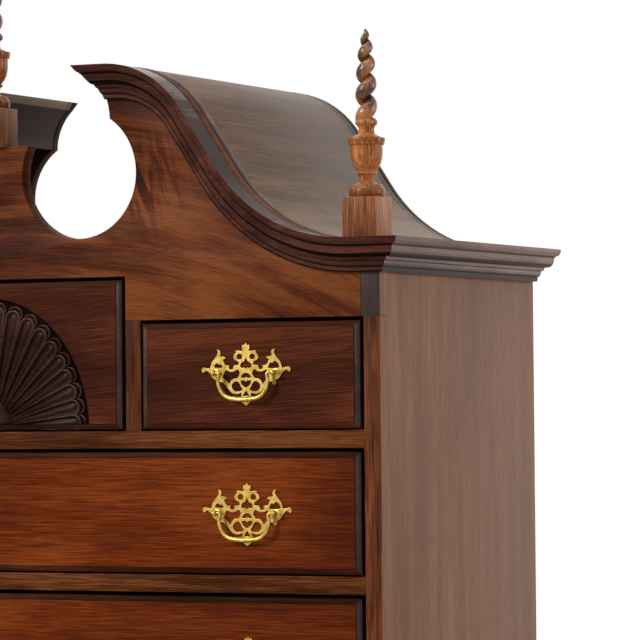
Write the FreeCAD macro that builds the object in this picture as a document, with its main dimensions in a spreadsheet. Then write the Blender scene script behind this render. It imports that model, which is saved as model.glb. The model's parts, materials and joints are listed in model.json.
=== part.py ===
import FreeCAD, Part
import math
import os

# A bonnet-top highboy: a chest of drawers with a swan-neck hood that stands on a
# lower case with cabriole legs. Millimetres, +Z up, front towards -Y, origin on the
# floor under the middle of the lower case.

Vector = FreeCAD.Vector
doc = FreeCAD.newDocument("highboy")

# ---------------------------------------------------------------------------
# Driving dimensions
# ---------------------------------------------------------------------------

SIZES = [
    ("upper_width", 1023, "upper case, over its sides"),
    ("upper_depth", 458, "upper case, front edge to back"),
    ("side_thickness", 21, "case sides, seen as stiles from the front"),
    ("back_thickness", 12, "case backs"),
    ("rail_thickness", 20.6, "drawer rails"),
    ("rail_depth", 62, "drawer rails, front to back"),
    ("divider_thickness", 20.4, "uprights between side-by-side drawers"),
    ("runner_width", 34, "drawer runners"),
    ("small_drawer_width", 287, "opening of a small upper drawer"),
    ("small_drawer_height", 129.3, "opening of a small upper drawer"),
    ("fan_drawer_height", 181, "opening of the upper fan drawer"),
    ("frieze_height", 50.2, "small drawer opening to the cornice"),
    ("frieze_block_width", 24, "block at the top of each stile"),
    ("long_drawer_one", 146.3, "top long drawer opening"),
    ("long_drawer_two", 165, "second long drawer opening"),
    ("long_drawer_three", 184, "third long drawer opening"),
    ("long_drawer_four", 203, "fourth long drawer opening"),
    ("lower_overhang", 26, "lower case beyond the upper, each side and front"),
    ("apron_top", 512, "floor to the lower drawer openings"),
    ("lower_side_bottom", 400, "floor to the lower case sides"),
    ("lower_drawer_height", 185, "openings of the bottom row"),
    ("lower_drawer_width", 318, "opening of a bottom side drawer"),
    ("lower_long_height", 120, "opening of the lower long drawer"),
    ("lower_back_inset", 4, "back of the lower case inside its posts"),
    ("post_width", 44, "corner posts of the lower case, square"),
    ("front_thickness", 22, "drawer fronts"),
    ("front_proud", 5, "drawer fronts ahead of the rails"),
    ("front_moulding", 6, "thumbnail edge of the drawer fronts"),
    ("gap_side", 1.6, "drawer front to its opening, each side"),
    ("gap_top", 2.4, "drawer front to its opening, above"),
    ("gap_bottom", 0.8, "drawer front to its opening, below"),
    ("running_gap", 0.2, "drawer side above its runner"),
    ("drawer_side", 12, "drawer sides and backs"),
    ("drawer_bottom", 7, "drawer bottoms"),
    ("drawer_groove", 8, "drawer bottom above the lower edge"),
    ("drawer_headroom", 14, "drawer sides below the opening's top"),
    ("drawer_back_gap", 6, "drawer to the case back"),
    ("board_thickness", 20, "tympanum"),
    ("hood_back_thickness", 15, "back board of the hood"),
    ("hood_back_land", 3, "back board of the hood at its middle, above its round cuts"),
    ("roof_thickness", 10, "hood roof boards"),
    ("top_board_thickness", 10, "board over the upper case, under the hood"),
    ("top_board_gap", 2, "tallest drawer's opening to the board over it"),
    ("cove_board_thickness", 12, "boards that close the hood at its gap"),
    ("cornice_height", 39, "cornice and swan-neck moulding, across the profile"),
    ("cornice_projection", 38, "cornice and swan-neck moulding"),
    ("scroll_foot_inset", 30.5, "case corner to the end of the level moulding"),
    ("scroll_foot_radius", 230.5, "lower sweep, at the moulding's lower edge"),
    ("scroll_crown_radius", 82, "upper sweep, at the moulding's lower edge"),
    ("scroll_angle", 56.85, "slope of the straight between the sweeps, degrees"),
    ("scroll_straight", 82, "length of the straight between the sweeps"),
    ("scroll_tip", 132.4, "middle of the case to the tip of each scroll"),
    ("scroll_nose", 42.1, "tip of each scroll to the end of its upper sweep"),
    ("cove_radius", 69, "cove at the inner end of each scroll"),
    ("cove_centre", 95, "middle of the case to the centre of that cove"),
    ("round_centre", 122, "middle of the case to each round opening"),
    ("round_height", 124, "cornice line to the centre of each round opening"),
    ("round_radius", 76.5, "round openings of the tympanum"),
    ("pinnacle_top", 160, "cornice line to the top of the middle pinnacle"),
    ("plinth_width", 43.5, "finial plinths, square"),
    ("plinth_height", 46.5, "finial plinths"),
    ("plinth_inset", 4, "plinth inside the case corner, from the side"),
    ("plinth_setback", 2, "plinth behind the case front"),
    ("plinth_seat", 0.8, "side plinths above the level moulding, where the roof starts to rise"),
    ("finial_scale", 1, "finials, share of their drawn size"),
    ("boring", 76.2, "bail posts, centre to centre"),
    ("plate_width", 115, "pull back plates"),
    ("plate_thickness", 1.6, "pull back plates"),
    ("post_length", 10, "drawer front to the bail's axis"),
    ("post_radius", 4.4, "bail posts, over their corners"),
    ("post_head", 3.6, "bail's axis to the end of its post"),
    ("bail_drop", 30.9, "bail axis to the lowest stretch of the bail's middle line"),
    ("bail_radius", 1.7, "bails, over the corners of their section"),
    ("bail_clearance", 0.06, "bail's end in its post, on the radius"),
    ("bail_hold", 2.8, "length of the bail's end inside its post"),
    ("bail_end_gap", 0.5, "bail's end to the bottom of its hole"),
    ("bail_inset", 6.9, "post's middle to the bail's arm, towards the pull's middle"),
    ("pull_spacing", 688, "pulls of a drawer row, centre to centre"),
    ("small_pull_rise", 2, "pulls of the small drawers, above the middle of the opening"),
    ("long_pull_drop", 1.3, "pulls of the long drawers, below the middle of the opening"),
    ("knob_height", 26, "knobs of the fan drawers, above the bottom of the opening"),
    ("fan_half_width", 137, "carved fan, middle to its side"),
    ("fan_height", 158, "carved fan, above the drawer's lower edge"),
    ("fan_depth", 9, "carved fan, sunk into the front"),
    ("waist_height", 20, "waist moulding"),
    ("waist_projection", 32, "waist moulding, beyond the upper case"),
    ("apron_depth", 108, "apron at the posts, top to bottom"),
    ("side_arch_rise", 34, "arch in the lower edge of the lower case sides"),
    ("lower_side_inset", 4, "lower case sides inside the faces of their posts"),
    ("post_below_side", 6, "posts below the lower case sides"),
    ("leg_height", 478, "floor to the shoulder of a leg, behind its post"),
    ("leg_corner_cut", 5, "corners taken off each leg, along the diagonal"),
    ("foot_radius", 42, "pad feet"),
    ("foot_height", 22, "pad feet"),
]

sheet = doc.addObject("Spreadsheet::Sheet", "Sizes")
for row, (alias, value, note) in enumerate(SIZES, start=1):
    sheet.set("A%d" % row, alias)
    sheet.set("B%d" % row, str(value))
    sheet.set("C%d" % row, note)
    sheet.setAlias("B%d" % row, alias)
doc.recompute()


class Measure:
    """A number together with the sheet formula that gives it."""

    def __init__(self, value, formula):
        self.value = float(value)
        self.formula = formula

    def __float__(self):
        return self.value

    def __add__(self, other):
        return joined(self, "+", other, self.value + float(other))

    def __radd__(self, other):
        return joined(other, "+", self, float(other) + self.value)

    def __sub__(self, other):
        return joined(self, "-", other, self.value - float(other))

    def __rsub__(self, other):
        return joined(other, "-", self, float(other) - self.value)

    def __mul__(self, other):
        return joined(self, "*", other, self.value * float(other))

    def __rmul__(self, other):
        return joined(other, "*", self, float(other) * self.value)

    def __truediv__(self, other):
        return joined(self, "/", other, self.value / float(other))

    def __neg__(self):
        return joined(0, "-", self, -self.value)


def formula_of(term):
    return term.formula if isinstance(term, Measure) else repr(float(term))


def joined(left, sign, right, value):
    return Measure(value, "(%s %s %s)" % (formula_of(left), sign, formula_of(right)))


def size(alias):
    return Measure(float(sheet.get(alias)), "Sizes.%s" % alias)


def bind(item, prop, length):
    """Give a property its value, bound to the sheet where the length comes from it."""
    if isinstance(length, Measure):
        item.setExpression(prop, length.formula)
    else:
        setattr(item, prop, length)


def place(item, low):
    """Put an item's own origin at a point, bound to the sheet."""
    item.Placement.Base = Vector(*[float(part) for part in low])
    for axis, part in zip("xyz", low):
        if isinstance(part, Measure):
            item.setExpression("Placement.Base.%s" % axis, part.formula)


# ---------------------------------------------------------------------------
# Heights and planes that several pieces share
# ---------------------------------------------------------------------------

HALF_UPPER = size("upper_width") / 2
HALF_LOWER = HALF_UPPER + size("lower_overhang")
LOWER_DEPTH = size("upper_depth") + size("lower_overhang")
BACK = LOWER_DEPTH / 2
LOWER_FACE = -LOWER_DEPTH / 2
UPPER_FACE = LOWER_FACE + size("lower_overhang")
RAIL = size("rail_thickness")

LOWER_RAIL_HEIGHT = size("apron_top") + size("lower_drawer_height")
LOWER_LONG_BOTTOM = LOWER_RAIL_HEIGHT + RAIL
LOWER_TOP_RAIL = LOWER_LONG_BOTTOM + size("lower_long_height")
WAIST = LOWER_TOP_RAIL + RAIL

LONG_HEIGHTS = [size("long_drawer_four"), size("long_drawer_three"),
                size("long_drawer_two"), size("long_drawer_one")]
UPPER_RAIL_HEIGHTS = [WAIST]
for height in LONG_HEIGHTS:
    UPPER_RAIL_HEIGHTS.append(UPPER_RAIL_HEIGHTS[-1] + RAIL + height)
TOP_ROW = UPPER_RAIL_HEIGHTS[-1] + RAIL
FRIEZE = TOP_ROW + size("small_drawer_height")
CORNICE = FRIEZE + size("frieze_height")

INNER_UPPER = HALF_UPPER - size("side_thickness")
FAN_OPENING = INNER_UPPER - size("small_drawer_width") - size("divider_thickness")
INNER_LOWER = HALF_LOWER - size("post_width")
LOWER_BACK = BACK - size("lower_back_inset") - size("back_thickness")
LOWER_FAN_OPENING = INNER_LOWER - size("lower_drawer_width") - size("divider_thickness")


def sine(alias):
    return Measure(math.sin(math.radians(float(size(alias)))), "sin(Sizes.%s)" % alias)


def cosine(alias):
    return Measure(math.cos(math.radians(float(size(alias)))), "cos(Sizes.%s)" % alias)


# The swan-neck line always reaches from the case corner to the tip of its scroll, so its
# sweeps, and the heights that go with them, grow and shrink with the width of the case.
SCROLL_RUN = HALF_UPPER - size("scroll_foot_inset") - size("scroll_nose") - size("scroll_tip")
SWEEPS = (size("scroll_foot_radius") + size("scroll_crown_radius")) * sine("scroll_angle")
SCROLL_SCALE = SCROLL_RUN / (SWEEPS + size("scroll_straight") * cosine("scroll_angle"))
SCROLL_STRAIGHT = size("scroll_straight") * SCROLL_SCALE
ROUND_HEIGHT = CORNICE + size("round_height") * SCROLL_SCALE
PINNACLE = CORNICE + size("pinnacle_top") * SCROLL_SCALE


# ---------------------------------------------------------------------------
# Ways of making pieces
# ---------------------------------------------------------------------------

def board(name, low, sizes):
    """A plain board from its lowest corner and its length, width and height."""
    box = doc.addObject("Part::Box", name)
    for prop, length in zip(("Length", "Width", "Height"), sizes):
        bind(box, prop, length)
    place(box, low)
    return box


def node(name, members):
    """A node of the finished part: one piece, or a group of separate pieces."""
    if len(members) == 1:
        item = members[0]
    else:
        item = doc.addObject("Part::Compound", "set_" + name)
        item.Links = members
    item.Label = name
    NODES.append(item)
    return item


NODES = []
POST_SIDES = 6
BAIL_SIDES = 6
TURNED_SIDES = 8
FOOT_SIDES = 12
# Blanks and cutting tools reach this far past the piece that they make.
PAST = 10


def flat(x, y):
    return Vector(float(x), float(y), 0)


def line(start, end):
    return Part.LineSegment(start, end)


def chain(points):
    """Straight edges through points, closed."""
    return [line(a, b) for a, b in zip(points, points[1:] + points[:1])]


def arc_about(centre, radius, start, end):
    """Arc from a start angle to an end angle in degrees, by way of its middle."""
    angles = (start, (start + end) / 2, end)
    points = [centre + flat(radius * math.cos(math.radians(a)), radius * math.sin(math.radians(a)))
              for a in angles]
    return Part.Arc(*points)


def sketch(name, edges, origin, across, up):
    """A sketch whose x runs along `across` and whose y runs along `up`."""
    item = doc.addObject("Sketcher::SketchObject", name)
    normal = across.cross(up)
    item.Placement = FreeCAD.Placement(origin, FreeCAD.Rotation(across, up, normal, "ZXY"))
    item.addGeometry(edges, False)
    return item


def front_sketch(name, edges, y):
    """A sketch in a plane that faces the front: x is X and y is Z."""
    return sketch(name, edges, Vector(0, float(y), 0), Vector(1, 0, 0), Vector(0, 0, 1))


def extrude(name, outline, direction, length):
    item = doc.addObject("Part::Extrusion", name)
    item.Base = outline
    item.DirMode = "Custom"
    item.Dir = direction
    item.Solid = True
    item.FaceMakerClass = "Part::FaceMakerBullseye"
    bind(item, "LengthFwd", length)
    return item


def plank(name, edges, front, thickness):
    """A board cut to an outline in X and Z, from its front plane backwards."""
    outline = front_sketch(name + "_outline", edges, front)
    return extrude(name, outline, Vector(0, 1, 0), thickness)


def cut(name, base, tool):
    item = doc.addObject("Part::Cut", name)
    item.Base = base
    item.Tool = tool
    return item


def fuse(name, shapes):
    item = doc.addObject("Part::MultiFuse", name)
    item.Shapes = shapes
    item.Refine = False
    return item


def mirrored(name, source):
    item = doc.addObject("Part::Mirroring", name)
    item.Source = source
    item.Normal = Vector(1, 0, 0)
    return item


def ring_corners(sides, radius):
    """Corners of a regular outline of a few sides, with flats square to x."""
    angles = [2 * math.pi * (i + 0.5) / sides for i in range(sides)]
    return [flat(radius * math.cos(angle), radius * math.sin(angle)) for angle in angles]


def facet_ring(name, sides, radius, origin, across, up):
    """A regular outline of a few sides, with flats square to `across`."""
    return sketch(name, chain(ring_corners(sides, radius)), origin, across, up)


def tapered_stage(name, start, end):
    """A solid of plain flats between two rings of corners, which a loft would warp."""
    flats = zip(start, start[1:] + start[:1], end[1:] + end[:1], end)
    faces = [Part.Face(Part.makePolygon([a, b, c, d, a])) for a, b, c, d in flats]
    faces += [Part.Face(Part.makePolygon(ring + ring[:1])) for ring in (start, end)]
    item = doc.addObject("Part::Feature", name)
    item.Shape = Part.makeSolid(Part.makeShell(faces))
    return item


def turning(name, stages, origin, sides, across=Vector(1, 0, 0), up=Vector(0, 1, 0)):
    """A turned piece with narrow flats, one stage on the last.

    Each stage is (radius at its start, radius at its end, length)."""
    along = across.cross(up)
    members = []
    for i, (start, end, length) in enumerate(stages):
        label = "%s_stage_%d" % (name, i)
        far = origin + along * length
        if start == end:
            ring = facet_ring(label + "_outline", sides, start, origin, across, up)
            members.append(extrude(label, ring, along, length))
        else:
            rings = [[centre + across * p.x + up * p.y for p in ring_corners(sides, radius)]
                     for centre, radius in ((origin, start), (far, end))]
            members.append(tapered_stage(label, *rings))
        origin = far
    return fuse(name, members)


# ---------------------------------------------------------------------------
# The swan-neck line
# ---------------------------------------------------------------------------

def scroll_points(offset):
    """Corner points of the right half's swan-neck line, offset up and outwards.

    Returns the level end, the ends and middles of both sweeps, and the crown."""
    base = float(CORNICE)
    angle = math.radians(float(size("scroll_angle")))
    foot = float(size("scroll_foot_radius") * SCROLL_SCALE)
    crown = float(size("scroll_crown_radius") * SCROLL_SCALE)
    foot_centre = Vector(float(HALF_UPPER) - float(size("scroll_foot_inset")), base + foot, 0)
    away = Vector(-math.sin(angle), -math.cos(angle), 0)
    half_away = Vector(-math.sin(angle / 2), -math.cos(angle / 2), 0)
    foot_radius = foot - offset
    foot_start = foot_centre + Vector(0, -foot_radius, 0)
    foot_middle = foot_centre + half_away * foot_radius
    foot_end = foot_centre + away * foot_radius
    along = Vector(-math.cos(angle), math.sin(angle), 0)
    crown_radius = crown + offset
    crown_start = foot_end + along * float(SCROLL_STRAIGHT)
    crown_centre = crown_start + away * crown_radius
    crown_middle = crown_centre - half_away * crown_radius
    crown_end = crown_centre + Vector(0, crown_radius, 0)
    return foot_start, foot_middle, foot_end, crown_start, crown_middle, crown_end


def scroll_centres():
    """Centres of the right half's lower and upper sweeps."""
    foot_start, _, foot_end, crown_start, _, crown_end = scroll_points(0)
    return (foot_start + flat(0, size("scroll_foot_radius") * SCROLL_SCALE),
            crown_end - flat(0, size("scroll_crown_radius") * SCROLL_SCALE))


def scroll_edges(offset, outer, inner):
    """The swan-neck line from its level outer end to its level inner end."""
    foot_start, foot_middle, foot_end, crown_start, crown_middle, crown_end = scroll_points(offset)
    return [line(flat(outer, foot_start.y), foot_start),
            Part.Arc(foot_start, foot_middle, foot_end),
            line(foot_end, crown_start),
            Part.Arc(crown_start, crown_middle, crown_end),
            line(crown_end, flat(inner, crown_end.y))]


def cove_corner(depth, radius):
    """Where the cove of a given radius meets a level `depth` below the scroll's top."""
    top = scroll_points(float(size("cornice_height")))[5].y - depth
    rise = top - float(cusp_height())
    return flat(float(size("cove_centre")) + math.sqrt(radius ** 2 - rise ** 2), top)


def cusp_height():
    """Height of the cusp, where the cove stands on the round opening."""
    centre = float(size("cove_centre"))
    reach = centre + float(size("cove_radius")) - float(size("round_centre"))
    rise = math.sqrt(float(size("round_radius")) ** 2 - reach ** 2)
    return float(ROUND_HEIGHT) + rise


def cove_edges():
    """The inner end of the right scroll, from its tip down to the cusp."""
    radius = float(size("cove_radius"))
    level = cusp_height()
    top = scroll_points(float(size("cornice_height")))[5].y
    tip = flat(size("scroll_tip"), top)
    corner = cove_corner(float(size("roof_thickness")), radius)
    centre = flat(size("cove_centre"), level)
    start = math.degrees(math.atan2(corner.y - level, corner.x - centre.x))
    return [line(tip, corner), arc_about(centre, radius, start, 0)]


def round_edges(stop):
    """The round opening, from the cusp round its outer side to the level `stop`."""
    centre = flat(size("round_centre"), ROUND_HEIGHT)
    radius = float(size("round_radius"))
    start = math.degrees(math.asin((cusp_height() - centre.y) / radius))
    end = -180 - math.degrees(math.asin((stop - centre.y) / radius))
    return [arc_about(centre, radius, start, end)]


def moved(edge, change):
    """A copy of a straight edge or an arc, with each of its points changed."""
    start = change(edge.StartPoint)
    end = change(edge.EndPoint)
    if isinstance(edge, Part.LineSegment):
        return line(start, end)
    middle = edge.value((edge.FirstParameter + edge.LastParameter) / 2)
    return Part.Arc(start, change(middle), end)


def mirror_edges(edges):
    """The same edges on the other side of the middle."""
    return [moved(edge, lambda point: flat(-point.x, point.y)) for edge in edges]


# ---------------------------------------------------------------------------
# Upper case
# ---------------------------------------------------------------------------

def upper_sides():
    top = CORNICE + size("cornice_height") - size("roof_thickness")
    for name, low in (("upper_side_left", -HALF_UPPER), ("upper_side_right", INNER_UPPER)):
        whole = board(name + "_board", (low, UPPER_FACE, WAIST),
                      (size("side_thickness"), size("upper_depth"), top - WAIST))
        notch = board(name + "_notch", (low, UPPER_FACE, FRIEZE),
                      (size("side_thickness"), size("board_thickness"), top - FRIEZE))
        node(name, [cut(name, whole, notch)])


def frieze_blocks():
    width = size("frieze_block_width")
    height = size("frieze_height") + size("cornice_height")
    blocks = [board("frieze_block_%s" % side, (low, UPPER_FACE, FRIEZE),
                    (width, size("board_thickness"), height))
              for side, low in (("left", -HALF_UPPER), ("right", HALF_UPPER - width))]
    node("frieze_blocks", blocks)


def upper_back():
    low = (-INNER_UPPER, BACK - size("back_thickness"), WAIST)
    node("upper_back", [board("upper_back", low,
                              (INNER_UPPER * 2, size("back_thickness"), FRIEZE - WAIST))])


def upper_rails():
    rails = [board("upper_rail_%d" % (i + 1), (-INNER_UPPER, UPPER_FACE, level),
                   (INNER_UPPER * 2, size("rail_depth"), RAIL))
             for i, level in enumerate(UPPER_RAIL_HEIGHTS)]
    node("upper_rails", rails)


def upper_dividers():
    depth = size("upper_depth") - size("back_thickness")
    dividers = [board("upper_divider_%s" % side, (low, UPPER_FACE, TOP_ROW),
                      (size("divider_thickness"), depth, size("small_drawer_height")))
                for side, low in (("left", -FAN_OPENING - size("divider_thickness")),
                                  ("right", FAN_OPENING))]
    node("upper_dividers", dividers)


def runner(name, low_x, width, face, level):
    """A drawer runner behind a rail, level with the rail."""
    start = face + size("rail_depth")
    return board(name, (low_x, start, level),
                 (width, BACK - size("back_thickness") - start, RAIL))


def upper_runners():
    width = size("runner_width")
    runners = []
    for i, level in enumerate(UPPER_RAIL_HEIGHTS):
        runners.append(runner("upper_runner_left_%d" % i, -INNER_UPPER, width, UPPER_FACE, level))
        runners.append(runner("upper_runner_right_%d" % i, INNER_UPPER - width, width,
                              UPPER_FACE, level))
    middle = size("divider_thickness") + width * 2
    level = UPPER_RAIL_HEIGHTS[-1]
    runners.append(runner("upper_middle_runner_left", -FAN_OPENING - middle + width, middle,
                          UPPER_FACE, level))
    runners.append(runner("upper_middle_runner_right", FAN_OPENING - width, middle,
                          UPPER_FACE, level))
    node("upper_runners", runners)


def tympanum():
    """The shaped board over the drawers, with two round openings and a pinnacle."""
    end = HALF_UPPER - size("frieze_block_width")
    drawer_top = TOP_ROW + size("fan_drawer_height")
    height = float(size("cornice_height"))
    right = [line(flat(FAN_OPENING, drawer_top), flat(FAN_OPENING, FRIEZE)),
             line(flat(FAN_OPENING, FRIEZE), flat(end, FRIEZE)),
             line(flat(end, FRIEZE), flat(end, float(CORNICE) + height))]
    right += scroll_edges(height, end, size("scroll_tip"))
    top = float(PINNACLE)
    right += cove_edges() + round_edges(top)
    node("tympanum", [plank("tympanum", outline_both_sides(right, top, drawer_top), UPPER_FACE,
                            size("board_thickness"))])


def outline_both_sides(right, level, bottom):
    """Close a right half outline with its mirror image, across the middle.

    The two halves meet at `level` above and at `bottom` below."""
    first = right[0].StartPoint
    touching = 0.01
    ends = [point for point in (right[-1].EndPoint, right[-1].StartPoint)
            if abs(point.y - level) < touching]
    top = ends[0]
    edges = right + mirror_edges(right)
    edges.append(line(flat(-top.x, top.y), top))
    edges.append(line(flat(-first.x, float(bottom)), flat(first.x, float(bottom))))
    return edges


def hood_back():
    """The back board of the hood, cut to the front's outline but low at the middle."""
    height = float(size("cornice_height"))
    shoulder = float(CORNICE) + height - float(size("roof_thickness"))
    right = [line(flat(INNER_UPPER, FRIEZE), flat(INNER_UPPER, shoulder)),
             line(flat(INNER_UPPER, shoulder), flat(HALF_UPPER, shoulder)),
             line(flat(HALF_UPPER, shoulder), flat(HALF_UPPER, float(CORNICE) + height))]
    right += scroll_edges(height, HALF_UPPER, size("scroll_tip"))
    middle = float(ROUND_HEIGHT - size("round_radius") + size("hood_back_land"))
    right += cove_edges() + round_edges(middle)
    node("hood_back", [plank("hood_back", outline_both_sides(right, middle, FRIEZE),
                             BACK - size("hood_back_thickness"), size("hood_back_thickness"))])


def hood_depth():
    return size("upper_depth") - size("board_thickness") - size("hood_back_thickness")


def hood_roofs():
    """The two S-shaped roofs behind the tympanum."""
    height = float(size("cornice_height"))
    thickness = float(size("roof_thickness"))
    corner = cove_corner(thickness, float(size("cove_radius")))
    upper = scroll_edges(height, HALF_UPPER, size("scroll_tip"))
    under = scroll_edges(height - thickness, HALF_UPPER, corner.x)
    edges = upper + under
    level = float(CORNICE) + height
    edges.append(line(flat(HALF_UPPER, level - thickness), flat(HALF_UPPER, level)))
    edges.append(line(corner, cove_edges()[0].StartPoint))
    right = plank("hood_roof_right", edges, UPPER_FACE + size("board_thickness"), hood_depth())
    node("hood_roofs", [right, mirrored("hood_roof_left", right)])


def hood_cove_boards():
    """The coved boards that close each half of the hood at the gap."""
    radius = float(size("cove_radius"))
    outer = radius + float(size("cove_board_thickness"))
    depth = float(size("roof_thickness"))
    centre = flat(size("cove_centre"), cusp_height())
    near = cove_corner(depth, radius)
    far = cove_corner(depth, outer)
    edges = [arc_about(centre, radius, angle_of(near - centre), 0),
             line(centre + flat(radius, 0), centre + flat(outer, 0)),
             arc_about(centre, outer, 0, angle_of(far - centre)),
             line(far, near)]
    right = plank("hood_cove_right", edges, UPPER_FACE + size("board_thickness"), hood_depth())
    node("hood_cove_boards", [right, mirrored("hood_cove_left", right)])


def upper_top():
    """The board that closes the upper case under the hood, over its tallest drawer."""
    thickness = size("top_board_thickness")
    level = TOP_ROW + size("fan_drawer_height") + size("top_board_gap")
    low = (-INNER_UPPER, UPPER_FACE + size("board_thickness"), level)
    node("upper_top", [board("upper_top", low, (INNER_UPPER * 2, hood_depth(), thickness))])


def angle_of(direction):
    return math.degrees(math.atan2(direction.y, direction.x))


# ---------------------------------------------------------------------------
# Mouldings
# ---------------------------------------------------------------------------

def cornice_profile():
    """Edges of the cornice section: x is the projection and y the height."""
    projection = float(size("cornice_projection"))
    height = float(size("cornice_height"))
    bead = flat(0.22 * projection, 0)
    bead_top = flat(0.25 * projection, 0.34 * height)
    fascia = flat(0.40 * projection, 0.34 * height)
    fascia_top = flat(0.40 * projection, 0.44 * height)
    ovolo_start = flat(0.53 * projection, 0.44 * height)
    ovolo_end = flat(0.76 * projection, 0.70 * height)
    lip_start = flat(0.83 * projection, 0.765 * height)
    lip_end = flat(projection, height)
    return chain([flat(0, 0), bead, bead_top, fascia, fascia_top, ovolo_start, ovolo_end,
                  lip_start, lip_end, flat(0, height)])


def mitre_tool(name, base, height, reach, length):
    """A prism that holds everything on the side's part of a mitred right front corner.

    `reach` is the moulding's projection, and `length` runs back along the side."""
    corner = flat(HALF_UPPER, UPPER_FACE)
    outward = corner + flat(reach + PAST, -reach - PAST)
    points = [corner + flat(-length, length), outward, flat(outward.x + length, outward.y),
              flat(outward.x + length, corner.y + length)]
    outline = sketch(name + "_outline", chain(points), Vector(0, 0, float(base) - PAST),
                     Vector(1, 0, 0), Vector(0, 1, 0))
    return extrude(name, outline, Vector(0, 0, 1), height + 2 * PAST)


def moulding_section(name, point, up):
    """The cornice section, set square to the swan-neck line at one of its points."""
    return sketch(name, cornice_profile(), Vector(point.x, float(UPPER_FACE), point.y),
                  Vector(0, -1, 0), up)


def bent_run(name, section, centre, turn):
    """A run of moulding bent about a centre, by the angle of the swan-neck line."""
    item = doc.addObject("Part::Revolution", name)
    item.Source = section
    item.Axis = Vector(0, turn, 0)
    item.Base = Vector(centre.x, float(UPPER_FACE), centre.y)
    bind(item, "Angle", size("scroll_angle"))
    item.Solid = True
    return item


def swan_neck_mouldings():
    """Straight and bent runs along the swan-neck line, mitred to the side cornice."""
    reach = float(size("cornice_projection"))
    outer = float(HALF_UPPER) + reach + PAST
    angle = math.radians(float(size("scroll_angle")))
    rise = Vector(-math.cos(angle), 0, math.sin(angle))
    leaning = Vector(math.sin(angle), 0, math.cos(angle))
    upright = Vector(0, 0, 1)
    foot_start, _, foot_end, crown_start, _, crown_end = scroll_points(0)
    foot_centre, crown_centre = scroll_centres()
    level_section = moulding_section("swan_neck_foot_section", foot_start, upright)
    slope_section = moulding_section("swan_neck_slope_section", foot_end, leaning)
    crown_section = moulding_section("swan_neck_crown_section", crown_start, leaning)
    tip_section = moulding_section("swan_neck_tip_section", crown_end, upright)
    runs = [extrude("swan_neck_level", level_section, Vector(1, 0, 0), outer - foot_start.x),
            bent_run("swan_neck_foot", level_section, foot_centre, 1),
            extrude("swan_neck_slope", slope_section, rise, SCROLL_STRAIGHT),
            bent_run("swan_neck_crown", crown_section, crown_centre, -1),
            extrude("swan_neck_end", tip_section, Vector(-1, 0, 0),
                    crown_end.x - 0.5 * float(size("round_centre")))]
    whole = fuse("swan_neck_whole", runs)
    mitre = mitre_tool("swan_neck_mitre", CORNICE, size("cornice_height"), reach, reach)
    mitred = cut("swan_neck_mitred", whole, mitre)
    trim = cove_trim()
    right = cut("swan_neck_right", mitred, trim)
    node("swan_neck_right", [right])
    node("swan_neck_left", [mirrored("swan_neck_left", right)])


def cove_trim():
    """A prism that fills the gap between the scrolls, up to their coved ends."""
    cove = cove_edges()
    tip = cove[0].StartPoint
    cusp = flat(size("cove_centre") + size("cove_radius"), cusp_height())
    floor = float(ROUND_HEIGHT)
    above = tip.y + PAST
    edges = cove + [line(cusp, flat(cusp.x, floor)),
                    line(flat(cusp.x, floor), flat(0, floor)),
                    line(flat(0, floor), flat(0, above)),
                    line(flat(0, above), flat(tip.x, above)),
                    line(flat(tip.x, above), tip)]
    outline = front_sketch("cove_trim_outline", edges, UPPER_FACE + PAST)
    return extrude("cove_trim", outline, Vector(0, -1, 0), size("cornice_projection") + 2 * PAST)


def side_cornices():
    """The level cornice along each side, cut off square at the back."""
    reach = float(size("cornice_projection"))
    profile = sketch("side_cornice_profile", cornice_profile(),
                     Vector(float(HALF_UPPER), float(BACK), float(CORNICE)),
                     Vector(1, 0, 0), Vector(0, 0, 1))
    whole = extrude("side_cornice_length", profile, Vector(0, -1, 0),
                    size("upper_depth") + reach + PAST)
    keep = mitre_tool("side_cornice_mitre", CORNICE, size("cornice_height"), reach,
                      float(size("upper_depth")) + PAST)
    right = doc.addObject("Part::Common", "side_cornice_right")
    right.Base = whole
    right.Tool = keep
    node("side_cornices", [right, mirrored("side_cornice_left", right)])


def waist_profile():
    """Section of the waist moulding: a cove between two fillets, over a rounded foot."""
    projection = float(size("waist_projection"))
    height = float(size("waist_height"))
    points = [flat(0, 0), flat(projection, 0), flat(projection, 0.30 * height),
              flat(0.80 * projection, 0.38 * height), flat(0.30 * projection, 0.82 * height),
              flat(0.30 * projection, height), flat(0, height)]
    middle = flat(0.42 * projection, 0.50 * height)
    edges = chain(points)
    edges[3] = Part.Arc(points[3], middle, points[4])
    return edges


def waist_moulding():
    """Three mitred lengths that hold the upper case on the lower one."""
    reach = float(size("waist_projection"))
    profile = sketch("waist_side_profile", waist_profile(),
                     Vector(float(HALF_UPPER), float(BACK), float(WAIST)),
                     Vector(1, 0, 0), Vector(0, 0, 1))
    whole = extrude("waist_side_length", profile, Vector(0, -1, 0),
                    size("upper_depth") + reach + PAST)
    keep = mitre_tool("waist_side_mitre", WAIST, size("waist_height"), reach,
                      float(size("upper_depth")) + PAST)
    right = doc.addObject("Part::Common", "waist_side_right")
    right.Base = whole
    right.Tool = keep
    front_profile = sketch("waist_front_profile", waist_profile(),
                           Vector(float(HALF_UPPER) + reach + PAST, float(UPPER_FACE),
                                  float(WAIST)),
                           Vector(0, -1, 0), Vector(0, 0, 1))
    front_whole = extrude("waist_front_length", front_profile, Vector(-1, 0, 0),
                          (HALF_UPPER + reach + PAST) * 2)
    mitre = mitre_tool("waist_front_mitre", WAIST, size("waist_height"), reach, reach)
    mitred = cut("waist_front_right", front_whole, mitre)
    front = cut("waist_front", mitred, mirrored("waist_front_mitre_left", mitre))
    node("waist_moulding", [front, right, mirrored("waist_side_left", right)])


# ---------------------------------------------------------------------------
# Finials
# ---------------------------------------------------------------------------

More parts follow.
